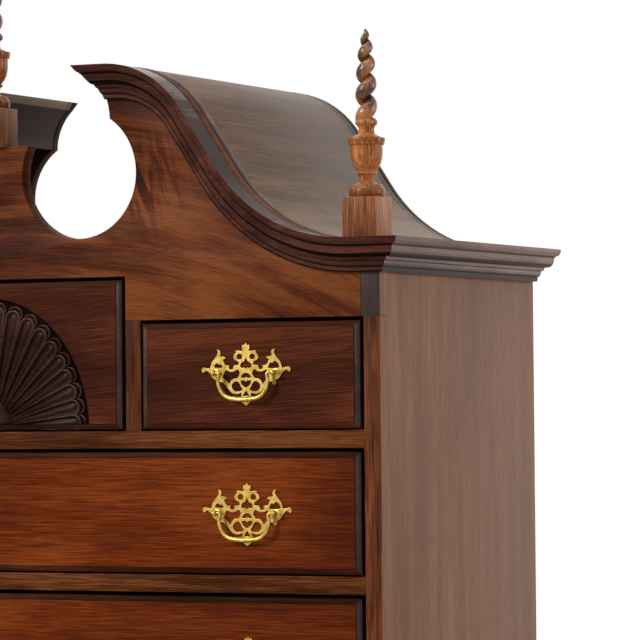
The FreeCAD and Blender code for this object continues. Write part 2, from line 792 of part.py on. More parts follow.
# Stages of a finial: foot, neck, bead, bowl, rim, cover, neck, collar and spire.
FINIAL = [(20.8, 20.8, 15), (10.5, 8.3, 11), (12.2, 12.2, 3.4), (11, 17.4, 12),
          (17.4, 18.3, 19), (21.4, 21.4, 7.6), (18, 9, 4), (9, 9, 10), (12.8, 12.8, 5),
          (10, 8.6, 66), (8.6, 0.8, 40)]


def plinths_and_finials():
    """An urn finial with a tapering spire, on a square plinth, three times."""
    width = size("plinth_width")
    height = size("plinth_height")
    seat = CORNICE + size("cornice_height") + size("plinth_seat")
    side_x = HALF_UPPER - size("plinth_inset") - width / 2
    side_y = UPPER_FACE + size("plinth_setback") + width / 2
    middle_y = UPPER_FACE + size("board_thickness") / 2
    places = [("left", -side_x, side_y, seat), ("right", side_x, side_y, seat),
              ("middle", 0, middle_y, PINNACLE)]
    scale = float(size("finial_scale"))
    stages = [tuple(length * scale for length in stage) for stage in FINIAL]
    plinths = []
    finials = []
    for side, x, y, z in places:
        plinths.append(board("plinth_" + side, (x - width / 2, y - width / 2, z),
                             (width, width, height)))
        foot = Vector(float(x), float(y), float(z + height))
        finials.append(turning("finial_" + side, stages, foot, TURNED_SIDES))
    node("plinths", plinths)
    node("finials", finials)


# ---------------------------------------------------------------------------
# Lower case
# ---------------------------------------------------------------------------

def lower_sides():
    """Side boards between the posts, with an arched lower edge."""
    thickness = size("side_thickness")
    post = size("post_width")
    start = float(LOWER_FACE + post)
    end = float(BACK - post)
    bottom = float(size("lower_side_bottom"))
    step = 0.16 * (end - start)
    rise = float(size("side_arch_rise"))
    arch = [flat(start, bottom), flat(start + step, bottom + 0.35 * rise),
            flat(start + 1.6 * step, bottom + rise), flat(end - 1.6 * step, bottom + rise),
            flat(end - step, bottom + 0.35 * rise), flat(end, bottom),
            flat(end, WAIST), flat(start, WAIST)]
    edges = chain(arch)
    edges[0] = Part.Arc(arch[0], flat(start + 0.6 * step, bottom + 0.02 * rise), arch[1])
    edges[1] = Part.Arc(arch[1], flat(start + 1.15 * step, bottom + 0.80 * rise), arch[2])
    edges[3] = Part.Arc(arch[3], flat(end - 1.15 * step, bottom + 0.80 * rise), arch[4])
    edges[4] = Part.Arc(arch[4], flat(end - 0.6 * step, bottom + 0.02 * rise), arch[5])
    inner = HALF_LOWER - thickness - size("lower_side_inset")
    outline = sketch("lower_side_outline", edges, Vector(float(inner), 0, 0),
                     Vector(0, 1, 0), Vector(0, 0, 1))
    right = extrude("lower_side_right", outline, Vector(1, 0, 0), thickness)
    node("lower_sides", [right, mirrored("lower_side_left", right)])


def lower_back():
    low = (-INNER_LOWER, LOWER_BACK, size("lower_side_bottom"))
    node("lower_back", [board("lower_back", low,
                              (INNER_LOWER * 2, size("back_thickness"),
                               WAIST - size("lower_side_bottom")))])


def lower_rails():
    """Rails over and under the long drawer, and the uprights of the bottom row."""
    depth = size("rail_depth")
    members = [board("lower_rail_%d" % (i + 1), (-INNER_LOWER, LOWER_FACE, level),
                     (INNER_LOWER * 2, depth, RAIL))
               for i, level in enumerate((LOWER_RAIL_HEIGHT, LOWER_TOP_RAIL))]
    for side, low in (("left", -LOWER_FAN_OPENING - size("divider_thickness")),
                      ("right", LOWER_FAN_OPENING)):
        members.append(board("lower_divider_" + side, (low, LOWER_FACE, size("apron_top")),
                             (size("divider_thickness"), LOWER_BACK - LOWER_FACE,
                              size("lower_drawer_height"))))
    node("lower_rails", members)


def lower_runners():
    """Runners of the lower drawers, from the rails to the back."""
    width = size("runner_width")
    level = LOWER_RAIL_HEIGHT
    start = LOWER_FACE + size("rail_depth")
    reach = LOWER_BACK - start
    members = []
    for name, low_x, wide, height in (
            ("left", -INNER_LOWER, width, level),
            ("right", INNER_LOWER - width, width, level)):
        members.append(board("lower_runner_" + name, (low_x, start, height), (wide, reach, RAIL)))
    middle = size("divider_thickness") + width * 2
    base = size("apron_top") - RAIL
    back_of_apron = LOWER_FACE + size("board_thickness")
    length = LOWER_BACK - back_of_apron
    for name, low_x, wide in (
            ("row_left", -INNER_LOWER, width), ("row_right", INNER_LOWER - width, width),
            ("row_middle_left", -LOWER_FAN_OPENING - middle + width, middle),
            ("row_middle_right", LOWER_FAN_OPENING - width, middle)):
        members.append(board("lower_runner_" + name, (low_x, back_of_apron, base),
                             (wide, length, RAIL)))
    node("lower_runners", members)


# Right half of the apron's lower edge, as (inwards, down) shares of its depth: two arcs
# from the post, two arcs about the pendent point, and the drop at the middle.
APRON_END = [(0, 1), (0.20, 0.93), (0.57, 0.72), (0.81, 0.44), (1.11, 0.39)]
APRON_POINT = [(-0.59, 0.39), (-0.33, 0.61), (0, 0.85), (0.35, 0.61), (0.65, 0.46)]
APRON_MIDDLE = 0.315
APRON_SHOULDER = 0.333


def apron():
    """The scalloped board under the bottom row of drawers, with two pendent points."""
    top = float(size("apron_top"))
    depth = float(size("apron_depth"))
    end = float(INNER_LOWER)
    pendent = float(LOWER_FAN_OPENING + size("divider_thickness") / 2)
    outer = [flat(end - inward * depth, top - drop * depth) for inward, drop in APRON_END]
    inner = [flat(pendent - inward * depth, top - drop * depth) for inward, drop in APRON_POINT]
    shoulder = flat(0.5 * inner[-1].x, top - APRON_SHOULDER * depth)
    middle = flat(0, top - APRON_MIDDLE * depth)
    edges = [line(flat(end, top), outer[0]),
             Part.Arc(*outer[0:3]),
             Part.Arc(*outer[2:5]),
             line(outer[4], inner[0]),
             Part.Arc(*inner[0:3]),
             Part.Arc(*inner[2:5]),
             Part.Arc(inner[4], shoulder, middle)]
    edges += mirror_edges(edges)
    edges.append(line(flat(-end, top), flat(end, top)))
    node("apron", [plank("apron", edges, LOWER_FACE, size("board_thickness"))])


# The leg's two long sides, as (outwards from the post's face, height) in shares of the
# post's width and the leg's height: the start, middle and end of each arc in turn. The
# outer side swells at the knee, and the inner side follows it.
LEG_OUTER = [(-0.07, 0.025), (-0.32, 0.178), (0.02, 0.429), (0.52, 0.732), (0.07, 1)]
LEG_INNER = [(-0.89, 0.025), (-0.98, 0.178), (-0.80, 0.460), (-0.77, 0.628), (-1, 0.837)]
# Stages of a pad foot, as shares of its radius and of its height.
FOOT = [(0.76, 0.90, 0.35), (1, 1, 0.35), (1, 0.60, 0.45)]


def leg_outline(outer, inner, top):
    """A closed outline from the arcs of both sides of the leg."""
    edges = []
    for side in (outer, inner):
        edges += [Part.Arc(*side[0:3]), Part.Arc(*side[2:5])]
    shoulder = flat(top, outer[-1].y)
    return edges + [line(outer[0], inner[0]), line(inner[-1], shoulder),
                    line(shoulder, outer[-1])]


def leg_slab(name, edges, across, corner):
    """An outline of the leg, cut right through the block square to its plane."""
    reach = 3 * float(size("post_width"))
    outline = sketch(name + "_outline", edges, corner - across.cross(Vector(0, 0, 1)) * reach,
                     across, Vector(0, 0, 1))
    return extrude(name, outline, across.cross(Vector(0, 0, 1)), 2 * reach)


def legs():
    """Cabriole legs on pad feet, sawn from both faces of the block and then eased.

    The same line is cut from the front and from the side; a third cut, square to the
    diagonal, takes the outer and inner corners off. Each leg runs up into its post."""
    corner = Vector(float(HALF_LOWER), float(LOWER_FACE), 0)
    width = float(size("post_width"))
    tall = float(size("leg_height"))
    outer = [flat(out * width, level * tall) for out, level in LEG_OUTER]
    inner = [flat(out * width, level * tall) for out, level in LEG_INNER]
    root = math.sqrt(2)
    eased = float(size("leg_corner_cut"))
    slanted_outer = [flat(root * point.x - eased, point.y) for point in outer]
    slanted_inner = [flat(root * point.x + eased, point.y) for point in inner]
    slabs = [leg_slab("leg_from_front", leg_outline(outer, inner, -width),
                      Vector(1, 0, 0), corner),
             leg_slab("leg_from_side", leg_outline(outer, inner, -width),
                      Vector(0, -1, 0), corner),
             leg_slab("leg_from_corner",
                      leg_outline(slanted_outer, slanted_inner, eased - root * width),
                      Vector(1, -1, 0).normalize(), corner)]
    shaft = slabs[0]
    for i, slab in enumerate(slabs[1:]):
        both = doc.addObject("Part::Common", "leg_shaft_%d" % i)
        both.Base = shaft
        both.Tool = slab
        shaft = both
    radius = float(size("foot_radius"))
    height = float(size("foot_height"))
    middle = 0.5 * (outer[0].x + inner[0].x)
    toe = corner + Vector(middle, -middle, 0) + Vector(1, -1, 0) * (0.2 * radius)
    stages = [(radius * start, radius * end, height * length) for start, end, length in FOOT]
    pad = turning("leg_pad", stages, toe, FOOT_SIDES)
    bottom = size("lower_side_bottom") - size("post_below_side")
    post = board("leg_post", (HALF_LOWER - size("post_width"), LOWER_FACE, bottom),
                 (size("post_width"), size("post_width"), WAIST - bottom))
    front_right = fuse("leg_front_right", [pad, shaft, post])
    front_left = mirrored("leg_front_left", front_right)
    backs = []
    for name, source in (("leg_back_right", front_right), ("leg_back_left", front_left)):
        back = doc.addObject("Part::Mirroring", name)
        back.Source = source
        back.Normal = Vector(0, 1, 0)
        backs.append(back)
    node("legs", [front_right, front_left] + backs)


# ---------------------------------------------------------------------------
# Drawers
# ---------------------------------------------------------------------------

def moulded_front(name, low, sizes):
    """A drawer front whose four front edges are rounded over."""
    block = board(name + "_block", low, sizes)
    doc.recompute()
    front = float(low[1])
    radius = float(size("front_moulding"))
    edges = []
    for i, edge in enumerate(block.Shape.Edges, start=1):
        if all(abs(vertex.Point.y - front) < 0.001 for vertex in edge.Vertexes):
            edges.append((i, radius, radius))
    item = doc.addObject("Part::Fillet", name + "_front")
    item.Base = block
    item.Edges = edges
    return item


def carved_front(name, front, base, face):
    """Sink the half-round recess of a carved fan into a drawer front."""
    half = float(size("fan_half_width"))
    high = float(size("fan_height"))

    def rim(degrees):
        angle = math.radians(degrees)
        return flat(half * math.cos(angle), float(base) + high * math.sin(angle))

    stations = ((0, 22.5, 45), (45, 90, 135), (135, 157.5, 180))
    edges = [Part.Arc(*[rim(degrees) for degrees in stretch]) for stretch in stations]
    edges.append(line(rim(180), rim(0)))
    outline = front_sketch(name + "_recess_outline", edges, float(face) - PAST)
    recess = extrude(name + "_recess", outline, Vector(0, 1, 0), size("fan_depth") + PAST)
    return cut(name + "_sunk", front, recess)


def drawer(name, middle, half_width, bottom, height, face, reach, fan=False):
    """A drawer: its front, two sides, back and bottom, in an opening of the case.

    `middle` and `half_width` place the opening, and `reach` is the depth behind the face."""
    side = size("drawer_side")
    low_x = middle - half_width + size("gap_side")
    width = half_width * 2 - size("gap_side") * 2
    front_low = bottom + size("gap_bottom")
    front_height = height - size("gap_bottom") - size("gap_top")
    front_y = face - size("front_proud")
    front = moulded_front(name, (low_x, front_y, front_low),
                          (width, size("front_thickness"), front_height))
    if fan:
        front = carved_front(name, front, front_low, front_y)
    inner_y = front_y + size("front_thickness")
    length = face + reach - size("drawer_back_gap") - inner_y
    side_low = bottom + size("running_gap")
    side_height = height - size("drawer_headroom")
    members = [front]
    for label, x in (("left", low_x), ("right", low_x + width - side)):
        members.append(board("%s_%s" % (name, label), (x, inner_y, side_low),
                             (side, length, side_height)))
    floor = side_low + size("drawer_groove")
    members.append(board(name + "_bottom", (low_x + side, inner_y, floor),
                         (width - side * 2, length - side, size("drawer_bottom"))))
    members.append(board(name + "_back", (low_x + side, inner_y + length - side, side_low),
                         (width - side * 2, side, side_height)))
    node(name, members)


# ---------------------------------------------------------------------------
# Pulls
# ---------------------------------------------------------------------------

# Right half of a back plate, from the tip of its crest down to the point below, and one
# piercing of its right half. Both are shares of the plate's half width.
PLATE_EDGE = [(0, 0.64), (0.12, 0.50), (0.18, 0.36), (0.36, 0.50), (0.50, 0.30), (0.66, 0.16),
              (0.84, 0.26), (1.0, 0.08), (0.78, -0.05), (0.70, -0.25), (0.50, -0.42),
              (0.16, -0.50), (0, -0.67)]
PIERCING = [(0.10, 0.02), (0.34, 0.28), (0.42, 0.02), (0.24, -0.28)]


def plate_outline():
    """Edges of a pierced willow plate about its own middle, x across and y up."""
    half = float(size("plate_width")) / 2
    right = [flat(x * half, y * half) for x, y in PLATE_EDGE]
    edges = [line(a, b) for a, b in zip(right, right[1:])]
    edges += chain([flat(x * half, y * half) for x, y in PIERCING])
    return edges + mirror_edges(edges)


def pull(drawer_name, label, x, z, face):
    """Back plate and posts of one pull; returns its solids and makes its bail."""
    front = face - size("front_proud")
    name = "%s_%s" % (drawer_name, label) if label else drawer_name
    shift = flat(x, z)
    edges = [moved(edge, lambda point: point + shift) for edge in plate_outline()]
    outline = front_sketch(name + "_plate_outline", edges, front)
    plate = extrude(name + "_plate", outline, Vector(0, -1, 0), size("plate_thickness"))
    solids = [plate]
    axis_y = front - size("post_length")
    for side, sign in (("a", -1), ("b", 1)):
        solids.append(bail_post("%s_post_%s" % (name, side), x + size("boring") * 0.5 * sign,
                                axis_y, z, front - size("plate_thickness"), sign))
    bail(name + "_bail", x, axis_y, z)
    return solids


def post_flat():
    """Distance from the middle of a post to its flats."""
    return float(size("post_radius")) * math.cos(math.pi / POST_SIDES)


def bail_post(name, x, axis_y, z, seat, outward):
    """A faceted post, with a blind hole in its inner flat for the bail's end."""
    reach = size("post_head") + seat - axis_y
    origin = Vector(float(x), float(seat), float(z))
    outline = facet_ring(name + "_outline", POST_SIDES, float(size("post_radius")), origin,
                         Vector(1, 0, 0), Vector(0, 0, 1))
    stem = extrude(name + "_stem", outline, Vector(0, -1, 0), reach)
    start = Vector(float(x) - outward * (post_flat() + PAST), float(axis_y), float(z))
    clear = float(size("bail_radius") + size("bail_clearance"))
    ring = facet_ring(name + "_hole_outline", BAIL_SIDES, clear / math.cos(math.pi / BAIL_SIDES),
                      start, Vector(0, 1, 0), Vector(0, 0, 1))
    hole = extrude(name + "_hole", ring, Vector(outward, 0, 0),
                   size("bail_hold") + size("bail_end_gap") + PAST)
    return cut(name, stem, hole)


def bail(name, x, axis_y, z):
    """A drop handle: a bow whose ends turn outwards into the posts."""
    half = float(size("boring")) / 2
    end = half - post_flat() + float(size("bail_hold"))
    arm = half - float(size("bail_inset"))
    drop = float(size("bail_drop"))
    right = [flat(end, 0), flat(arm, 0), flat(1.02 * arm, -0.42 * drop),
             flat(0.80 * arm, -0.82 * drop), flat(0.42 * arm, -drop)]
    left = [flat(-point.x, point.y) for point in right[::-1]]
    points = [point + flat(x, z) for point in right + left]
    path = front_sketch(name + "_path", [line(a, b) for a, b in zip(points, points[1:])], axis_y)
    start = Vector(points[0].x, float(axis_y), points[0].y)
    section = facet_ring(name + "_section", BAIL_SIDES, float(size("bail_radius")), start,
                         Vector(0, 1, 0), Vector(0, 0, 1))
    sweep = doc.addObject("Part::Sweep", name)
    sweep.Sections = [section]
    sweep.Spine = (path, [])
    sweep.Transition = "Right corner"
    sweep.Solid = True
    node(name, [sweep])


def pulls(drawer_name, places, z, face):
    """The plates and posts of one drawer's pulls, and their bails."""
    solids = []
    for label, x in places:
        solids += pull(drawer_name, label, x, z, face)
    node(drawer_name + "_plates", solids)


KNOB = [(9, 9, 2), (4, 4, 10), (9.5, 9.5, 6), (6, 6, 2)]


def knob(name, z, face):
    """A small turned brass knob on the hub of a fan."""
    seat = Vector(0, float(face - size("front_proud") + size("fan_depth")), float(z))
    node(name, [turning(name, KNOB, seat, TURNED_SIDES, Vector(1, 0, 0),
                        Vector(0, 0, 1))])


# ---------------------------------------------------------------------------
# Assembly
# ---------------------------------------------------------------------------

def upper_drawers():
    reach = size("upper_depth") - size("back_thickness")
    middle = INNER_UPPER - size("small_drawer_width") / 2
    spread = size("pull_spacing") / 2
    pull_z = TOP_ROW + size("small_drawer_height") / 2 + size("small_pull_rise")
    for side, sign in (("left", -1), ("right", 1)):
        name = "small_drawer_" + side
        drawer(name, middle * sign, size("small_drawer_width") / 2, TOP_ROW,
               size("small_drawer_height"), UPPER_FACE, reach)
        pulls(name, [("", spread * sign)], pull_z, UPPER_FACE)
    drawer("upper_fan_drawer", 0, FAN_OPENING, TOP_ROW, size("fan_drawer_height"),
           UPPER_FACE, reach, fan=True)
    knob("upper_fan_knob", TOP_ROW + size("knob_height"), UPPER_FACE)
    numbers = (4, 3, 2, 1)
    for number, level, height in zip(numbers, UPPER_RAIL_HEIGHTS, LONG_HEIGHTS):
        name = "long_drawer_%d" % number
        bottom = level + RAIL
        drawer(name, 0, INNER_UPPER, bottom, height, UPPER_FACE, reach)
        pulls(name, [("left", -spread), ("right", spread)],
              bottom + height / 2 - size("long_pull_drop"), UPPER_FACE)


def lower_drawers():
    reach = LOWER_BACK - LOWER_FACE
    drawer("lower_long_drawer", 0, INNER_LOWER, LOWER_LONG_BOTTOM,
           size("lower_long_height"), LOWER_FACE, reach)
    spread = size("pull_spacing") / 2
    pulls("lower_long_drawer", [("left", -spread), ("right", spread)],
          LOWER_LONG_BOTTOM + size("lower_long_height") / 2 - size("long_pull_drop"), LOWER_FACE)
    middle = INNER_LOWER - size("lower_drawer_width") / 2
    for side, x in (("left", -middle), ("right", middle)):
        name = "lower_drawer_" + side
        drawer(name, x, size("lower_drawer_width") / 2, size("apron_top"),
               size("lower_drawer_height"), LOWER_FACE, reach)
        pulls(name, [("", x)], size("apron_top") + size("lower_drawer_height") / 2, LOWER_FACE)
    drawer("lower_fan_drawer", 0, LOWER_FAN_OPENING, size("apron_top"),
           size("lower_drawer_height"), LOWER_FACE, reach, fan=True)
    knob("lower_fan_knob", size("apron_top") + size("knob_height"), LOWER_FACE)


upper_sides()
frieze_blocks()
upper_back()
upper_rails()
upper_dividers()
upper_runners()
tympanum()
swan_neck_mouldings()
side_cornices()
hood_roofs()
hood_cove_boards()
hood_back()
upper_top()
plinths_and_finials()
waist_moulding()
lower_sides()
lower_back()
lower_rails()
lower_runners()
apron()
legs()
upper_drawers()
lower_drawers()

doc.recompute()

for item in doc.Objects:
    if "Invalid" in item.State or "Error" in item.State:
        raise RuntimeError("%s (%s): %s" % (item.Name, item.Label, item.State))

os.makedirs("parts", exist_ok=True)
for item in NODES:
    shape = item.Shape
    if shape.isNull() or not shape.isValid() or not shape.Solids:
        raise RuntimeError("%s has no valid solid" % item.Label)
    shape.exportStep("parts/%s.step" % item.Label)
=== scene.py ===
import json
import math

import bmesh
import bpy
from mathutils import Matrix, Vector

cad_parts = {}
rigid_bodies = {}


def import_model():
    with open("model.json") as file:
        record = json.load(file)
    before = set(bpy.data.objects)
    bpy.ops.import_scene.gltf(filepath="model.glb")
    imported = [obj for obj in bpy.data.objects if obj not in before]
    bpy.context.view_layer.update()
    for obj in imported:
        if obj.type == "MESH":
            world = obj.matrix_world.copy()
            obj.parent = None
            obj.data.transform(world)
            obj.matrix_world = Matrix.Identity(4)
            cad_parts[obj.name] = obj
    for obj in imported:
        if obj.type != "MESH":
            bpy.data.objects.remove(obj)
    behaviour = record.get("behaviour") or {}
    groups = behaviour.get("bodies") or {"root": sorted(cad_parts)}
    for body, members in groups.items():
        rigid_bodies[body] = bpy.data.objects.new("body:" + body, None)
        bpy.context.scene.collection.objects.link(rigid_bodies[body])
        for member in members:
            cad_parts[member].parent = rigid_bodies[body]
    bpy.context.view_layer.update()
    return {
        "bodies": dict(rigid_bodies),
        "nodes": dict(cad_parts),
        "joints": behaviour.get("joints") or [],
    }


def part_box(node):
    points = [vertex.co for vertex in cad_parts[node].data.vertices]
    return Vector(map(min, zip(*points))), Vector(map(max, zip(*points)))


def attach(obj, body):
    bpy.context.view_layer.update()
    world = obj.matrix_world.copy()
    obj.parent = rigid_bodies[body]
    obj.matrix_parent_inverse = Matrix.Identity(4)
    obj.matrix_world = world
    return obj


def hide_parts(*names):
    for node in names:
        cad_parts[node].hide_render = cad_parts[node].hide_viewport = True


# A bonnet-top highboy in figured mahogany with pierced willow brasses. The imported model
# gives the frame: each piece here takes its place from the node that it dresses, with its
# front towards -Y. Bare lengths are millimetres, and lengths times MM are metres. The soft
# spots in the finishes are in metres.

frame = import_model()

MM = 0.001
# Corners closer than this are one corner.
NEAR = 0.01
UP = Vector((0, 0, 1))
FORWARD = Vector((0, -1, 0))
CASE = "case"
UPPER_DRAWERS = ["small_drawer_left", "small_drawer_right", "upper_fan_drawer",
                 "long_drawer_1", "long_drawer_2", "long_drawer_3", "long_drawer_4"]
LOWER_DRAWERS = ["lower_long_drawer", "lower_drawer_left", "lower_drawer_right",
                 "lower_fan_drawer"]


# --- Finishes ---

# Shares to which the wood's patterns are squeezed along the grain, and its open pores.
ZONE_SQUEEZE = 0.45
BAND_SQUEEZE = 0.07
THREAD_SQUEEZE = 0.025
PORE_SQUEEZE = 0.04
PORES_TO_THE_METRE = 1150
PORE_DEPTH = 0.0002
PORE_BUMP = 0.2


class Finish:
    """One material and its nodes."""

    def __init__(self, name, **sockets):
        self.material = bpy.data.materials.new(name)
        self.material.use_nodes = True
        self.tree = self.material.node_tree
        self.tree.nodes.clear()
        output = self.tree.nodes.new("ShaderNodeOutputMaterial")
        self.shader = self.tree.nodes.new("ShaderNodeBsdfPrincipled")
        self.tree.links.new(self.shader.outputs["BSDF"], output.inputs["Surface"])
        for socket, value in sockets.items():
            self.set(self.shader, socket.replace("_", " "), value)

    def set(self, node, socket, value):
        if isinstance(value, bpy.types.NodeSocket):
            self.tree.links.new(value, node.inputs[socket])
        else:
            node.inputs[socket].default_value = value

    def add(self, kind, sockets=None, **settings):
        node = self.tree.nodes.new("ShaderNode" + kind)
        for setting, value in settings.items():
            setattr(node, setting, value)
        for socket, value in (sockets or {}).items():
            self.set(node, socket, value)
        return node

    def place(self):
        return self.add("TexCoord").outputs["Object"]

    def spots(self, stretch, turn=(0, 0, 0)):
        """Object coordinates, turned and then squeezed along each axis."""
        turned = self.add("Mapping", {"Vector": self.place(), "Rotation": turn})
        scaled = self.add("Mapping", {"Vector": turned.outputs[0], "Scale": stretch})
        return scaled.outputs[0]

    def noise(self, vector, scale, detail, distortion=0.0):
        node = self.add("TexNoise", {"Vector": vector, "Scale": scale, "Detail": detail,
                                     "Distortion": distortion})
        return node.outputs[0]

    def ramp(self, value, stops):
        """Colours or greys along a value: (place, colour) stops."""
        node = self.add("ValToRGB", {"Fac": value})
        elements = node.color_ramp.elements
        while len(elements) < len(stops):
            elements.new(0.5)
        for element, (place, colour) in zip(elements, stops):
            element.position = place
            if not isinstance(colour, tuple):
                colour = (colour,) * 3
            element.color = (*colour, 1)
        return node.outputs[0]

    def mixture(self, shares):
        """The sum of several values, each times its share."""
        total = None
        for value, share in shares:
            part = self.maths("MULTIPLY", value, share)
            total = self.maths("ADD", total, part) if total else part
        return total

    def lean(self, first, second, amount):
        """From the first value to the second, by an amount from 0 to 1."""
        node = self.add("Mix", {0: amount, 2: first, 3: second}, data_type="FLOAT")
        return node.outputs[0]

    def part(self, vector, axis):
        return self.add("SeparateXYZ", {"Vector": vector}).outputs[axis]

    def glow(self, across, up, middle, reach):
        """A soft spot in X and Z: 1 at its middle and 0 past its reach, in metres."""
        shifts = []
        for value, centre, radius in zip((across, up), middle, reach):
            offset = self.maths("DIVIDE", self.maths("SUBTRACT", value, centre), radius)
            shifts.append(self.maths("MULTIPLY", offset, offset))
        distance = self.maths("SQRT", self.maths("ADD", *shifts))
        node = self.add("MapRange", {"Value": distance, "From Min": 1.0, "From Max": 0.0},
                        interpolation_type="SMOOTHSTEP")
        return node.outputs[0]

    def patched(self, value, patches, mirrored=False):
        """A value raised or lowered in soft spots: (middle, reach, lift) each."""
        if not patches:
            return value
        place = self.place()
        across, up = self.part(place, "X"), self.part(place, "Z")
        if mirrored:
            across = self.maths("ABSOLUTE", across)
        for middle, reach, lift in patches:
            spot = self.glow(across, up, middle, reach)
            value = self.maths("ADD", value, self.maths("MULTIPLY", spot, lift))
        return value

    def pores(self, stretch, turn=(0, 0, 0)):
        """Open pores along the grain: 0 in a pore and 1 beside it."""
        return self.ramp(self.noise(self.spots(stretch, turn), PORES_TO_THE_METRE, 2),
                         [(0.36, 0.0), (0.50, 1.0)])

    def span(self, value, low, high):
        """A value from 0 to 1, moved to lie from low to high."""
        node = self.add("MapRange", {"Value": value, "To Min": low, "To Max": high})
        return node.outputs[0]

    def darkened(self, amount, colour, flecks):
        """A colour made darker by flecks, by an amount from 0 to 1."""
        node = self.add("Mix", {0: amount, 6: colour, 7: flecks}, data_type="RGBA",
                        blend_type="MULTIPLY")
        return node.outputs[2]

    def maths(self, operation, first, second=0.0):
        return self.add("Math", {0: first, 1: second}, operation=operation).outputs[0]

    def bump(self, height, depth, strength):
        node = self.add("Bump", {"Height": height, "Distance": depth, "Strength": strength})
        self.set(self.shader, "Normal", node.outputs[0])

    def polished(self, colour, flecks, pores, thread, gloss):
        """Finish a wood: pores darken and dent it, and its threads vary its gloss."""
        self.set(self.shader, "Base Color", self.darkened(pores, colour, flecks))
        self.set(self.shader, "Roughness", self.span(thread, *gloss))
        self.bump(flecks, PORE_DEPTH, PORE_BUMP)
        return self.material


def squeezed(along, share):
    """A stretch for each axis that squeezes a pattern along the grain's axis."""
    return tuple(share if axis == along else 1 for axis in "xyz")


def mahogany(name, along, tones, gloss=(0.34, 0.46), specular=0.03, zones=4.5, bands=42,
             threads=820, turn=(0, 0, 0), ripple=0.5, spread=0.085, pores=0.3, patches=(),
             mirrored=False, shares=(0.40, 0.34, 0.26)):
    """Polished mahogany: broad zones, bands and fine threads of colour along the grain.

    `tones` is dark, middle and light; zones, bands and threads are patterns to the metre.
    `shares` says how much each counts. A patch lightens or darkens a soft spot: (middle,
    reach, lift), in X and Z, and `mirrored` repeats the patches on the left."""
    finish = Finish(name, Specular_IOR_Level=specular)
    wide = finish.noise(finish.spots(squeezed(along, ZONE_SQUEEZE), turn), zones, 2, 0.6)
    band = finish.noise(finish.spots(squeezed(along, BAND_SQUEEZE), turn), bands, 3, ripple)
    thread = finish.noise(finish.spots(squeezed(along, THREAD_SQUEEZE), turn), threads, 3, 0.2)
    mixed = finish.mixture(zip((wide, band, thread), shares))
    mixed = finish.patched(mixed, patches, mirrored)
    dark, middle, light = tones
    colour = finish.ramp(mixed, [(0.5 - spread, dark), (0.5, middle), (0.5 + spread, light)])
    flecks = finish.pores(squeezed(along, PORE_SQUEEZE), turn)
    return finish.polished(colour, flecks, pores, thread, gloss)


# The tympanum's figure sweeps round a centre low in the case, and a plume stands beside each
# round opening. Its patches are painted light and shade: soft lighter glows over most of the
# board, and a darker spot under the lower sweep of the moulding.
SWEEP_CENTRE = (0.05, 1.05)
SWEEP_STRETCHES = ((3.0, 1, 9), (4.0, 1, 60), (22, 1, 900))
PLUME_MIDDLE = (0.215, 1.95)
PLUME_REACH = (0.075, 0.085)
PLUME_SQUEEZE = (1, 1, 0.14)
PLUME_LEAN = math.radians(16)
TYMPANUM_PAINTED_LIGHT = [((0.245, 1.925), (0.12, 0.09), 0.09), ((0.24, 1.818), (0.34, 0.065), 0.13),
                    ((0.335, 1.888), (0.08, 0.032), -0.05), ((0.45, 1.835), (0.14, 0.07), 0.08),
                    ((0.23, 2.01), (0.10, 0.06), 0.02)]


def tympanum_mahogany(name, tones):
    """The tympanum's board: sweeping bands, and a plume of feathered figure on each side."""
    finish = Finish(name, Specular_IOR_Level=0.03)
    place = finish.place()
    across = finish.maths("ABSOLUTE", finish.part(place, "X"))
    up = finish.part(place, "Z")
    outward = finish.maths("SUBTRACT", across, SWEEP_CENTRE[0])
    height = finish.maths("SUBTRACT", up, SWEEP_CENTRE[1])
    away = finish.maths("SQRT", finish.maths("ADD", finish.maths("MULTIPLY", outward, outward),
                                             finish.maths("MULTIPLY", height, height)))
    around = finish.maths("ARCTAN2", outward, height)
    swept = finish.add("CombineXYZ", {"X": around, "Y": 0.0, "Z": away}).outputs[0]
    ways = [finish.add("Mapping", {"Vector": swept, "Scale": stretch}).outputs[0]
            for stretch in SWEEP_STRETCHES]
    wide = finish.noise(ways[0], 1.6, 2, 0.6)
    band = finish.noise(ways[1], 1.0, 4, 0.7)
    thread = finish.noise(ways[2], 1.0, 3, 0.3)
    barbs = finish.noise(finish.spots(PLUME_SQUEEZE, (0, PLUME_LEAN, 0)), 84, 4, 0.9)
    plume = finish.ramp(barbs, [(0.38, 0.12), (0.60, 0.62)])
    figure = finish.lean(band, plume, finish.glow(across, up, PLUME_MIDDLE, PLUME_REACH))
    mixed = finish.mixture([(wide, 0.34), (figure, 0.36), (thread, 0.30)])
    raised = finish.patched(mixed, TYMPANUM_PAINTED_LIGHT, mirrored=True)
    dark, middle, light = tones
    colour = finish.ramp(raised, [(0.42, dark), (0.52, middle), (0.63, light)])
    return finish.polished(colour, finish.pores((0.05, 1, 1)), 0.25, thread, (0.34, 0.46))


def golden_brass(name):
    """Satin brass, in soft mottles of brighter and browner metal."""
    finish = Finish(name, Metallic=1.0)
    mottle = finish.noise(finish.spots((1, 1, 1)), 160, 4, 0.4)
    fine = finish.noise(finish.spots((1, 1, 1)), 1400, 2)
    colour = finish.ramp(mottle, [(0.30, (0.35, 0.215, 0.046)), (0.52, (0.53, 0.345, 0.078)),
                                  (0.72, (0.66, 0.450, 0.120))])
    finish.set(finish.shader, "Base Color", colour)
    finish.set(finish.shader, "Roughness", finish.span(fine, 0.24, 0.38))
    finish.bump(mottle, 0.0001, 0.04)
    return finish.material
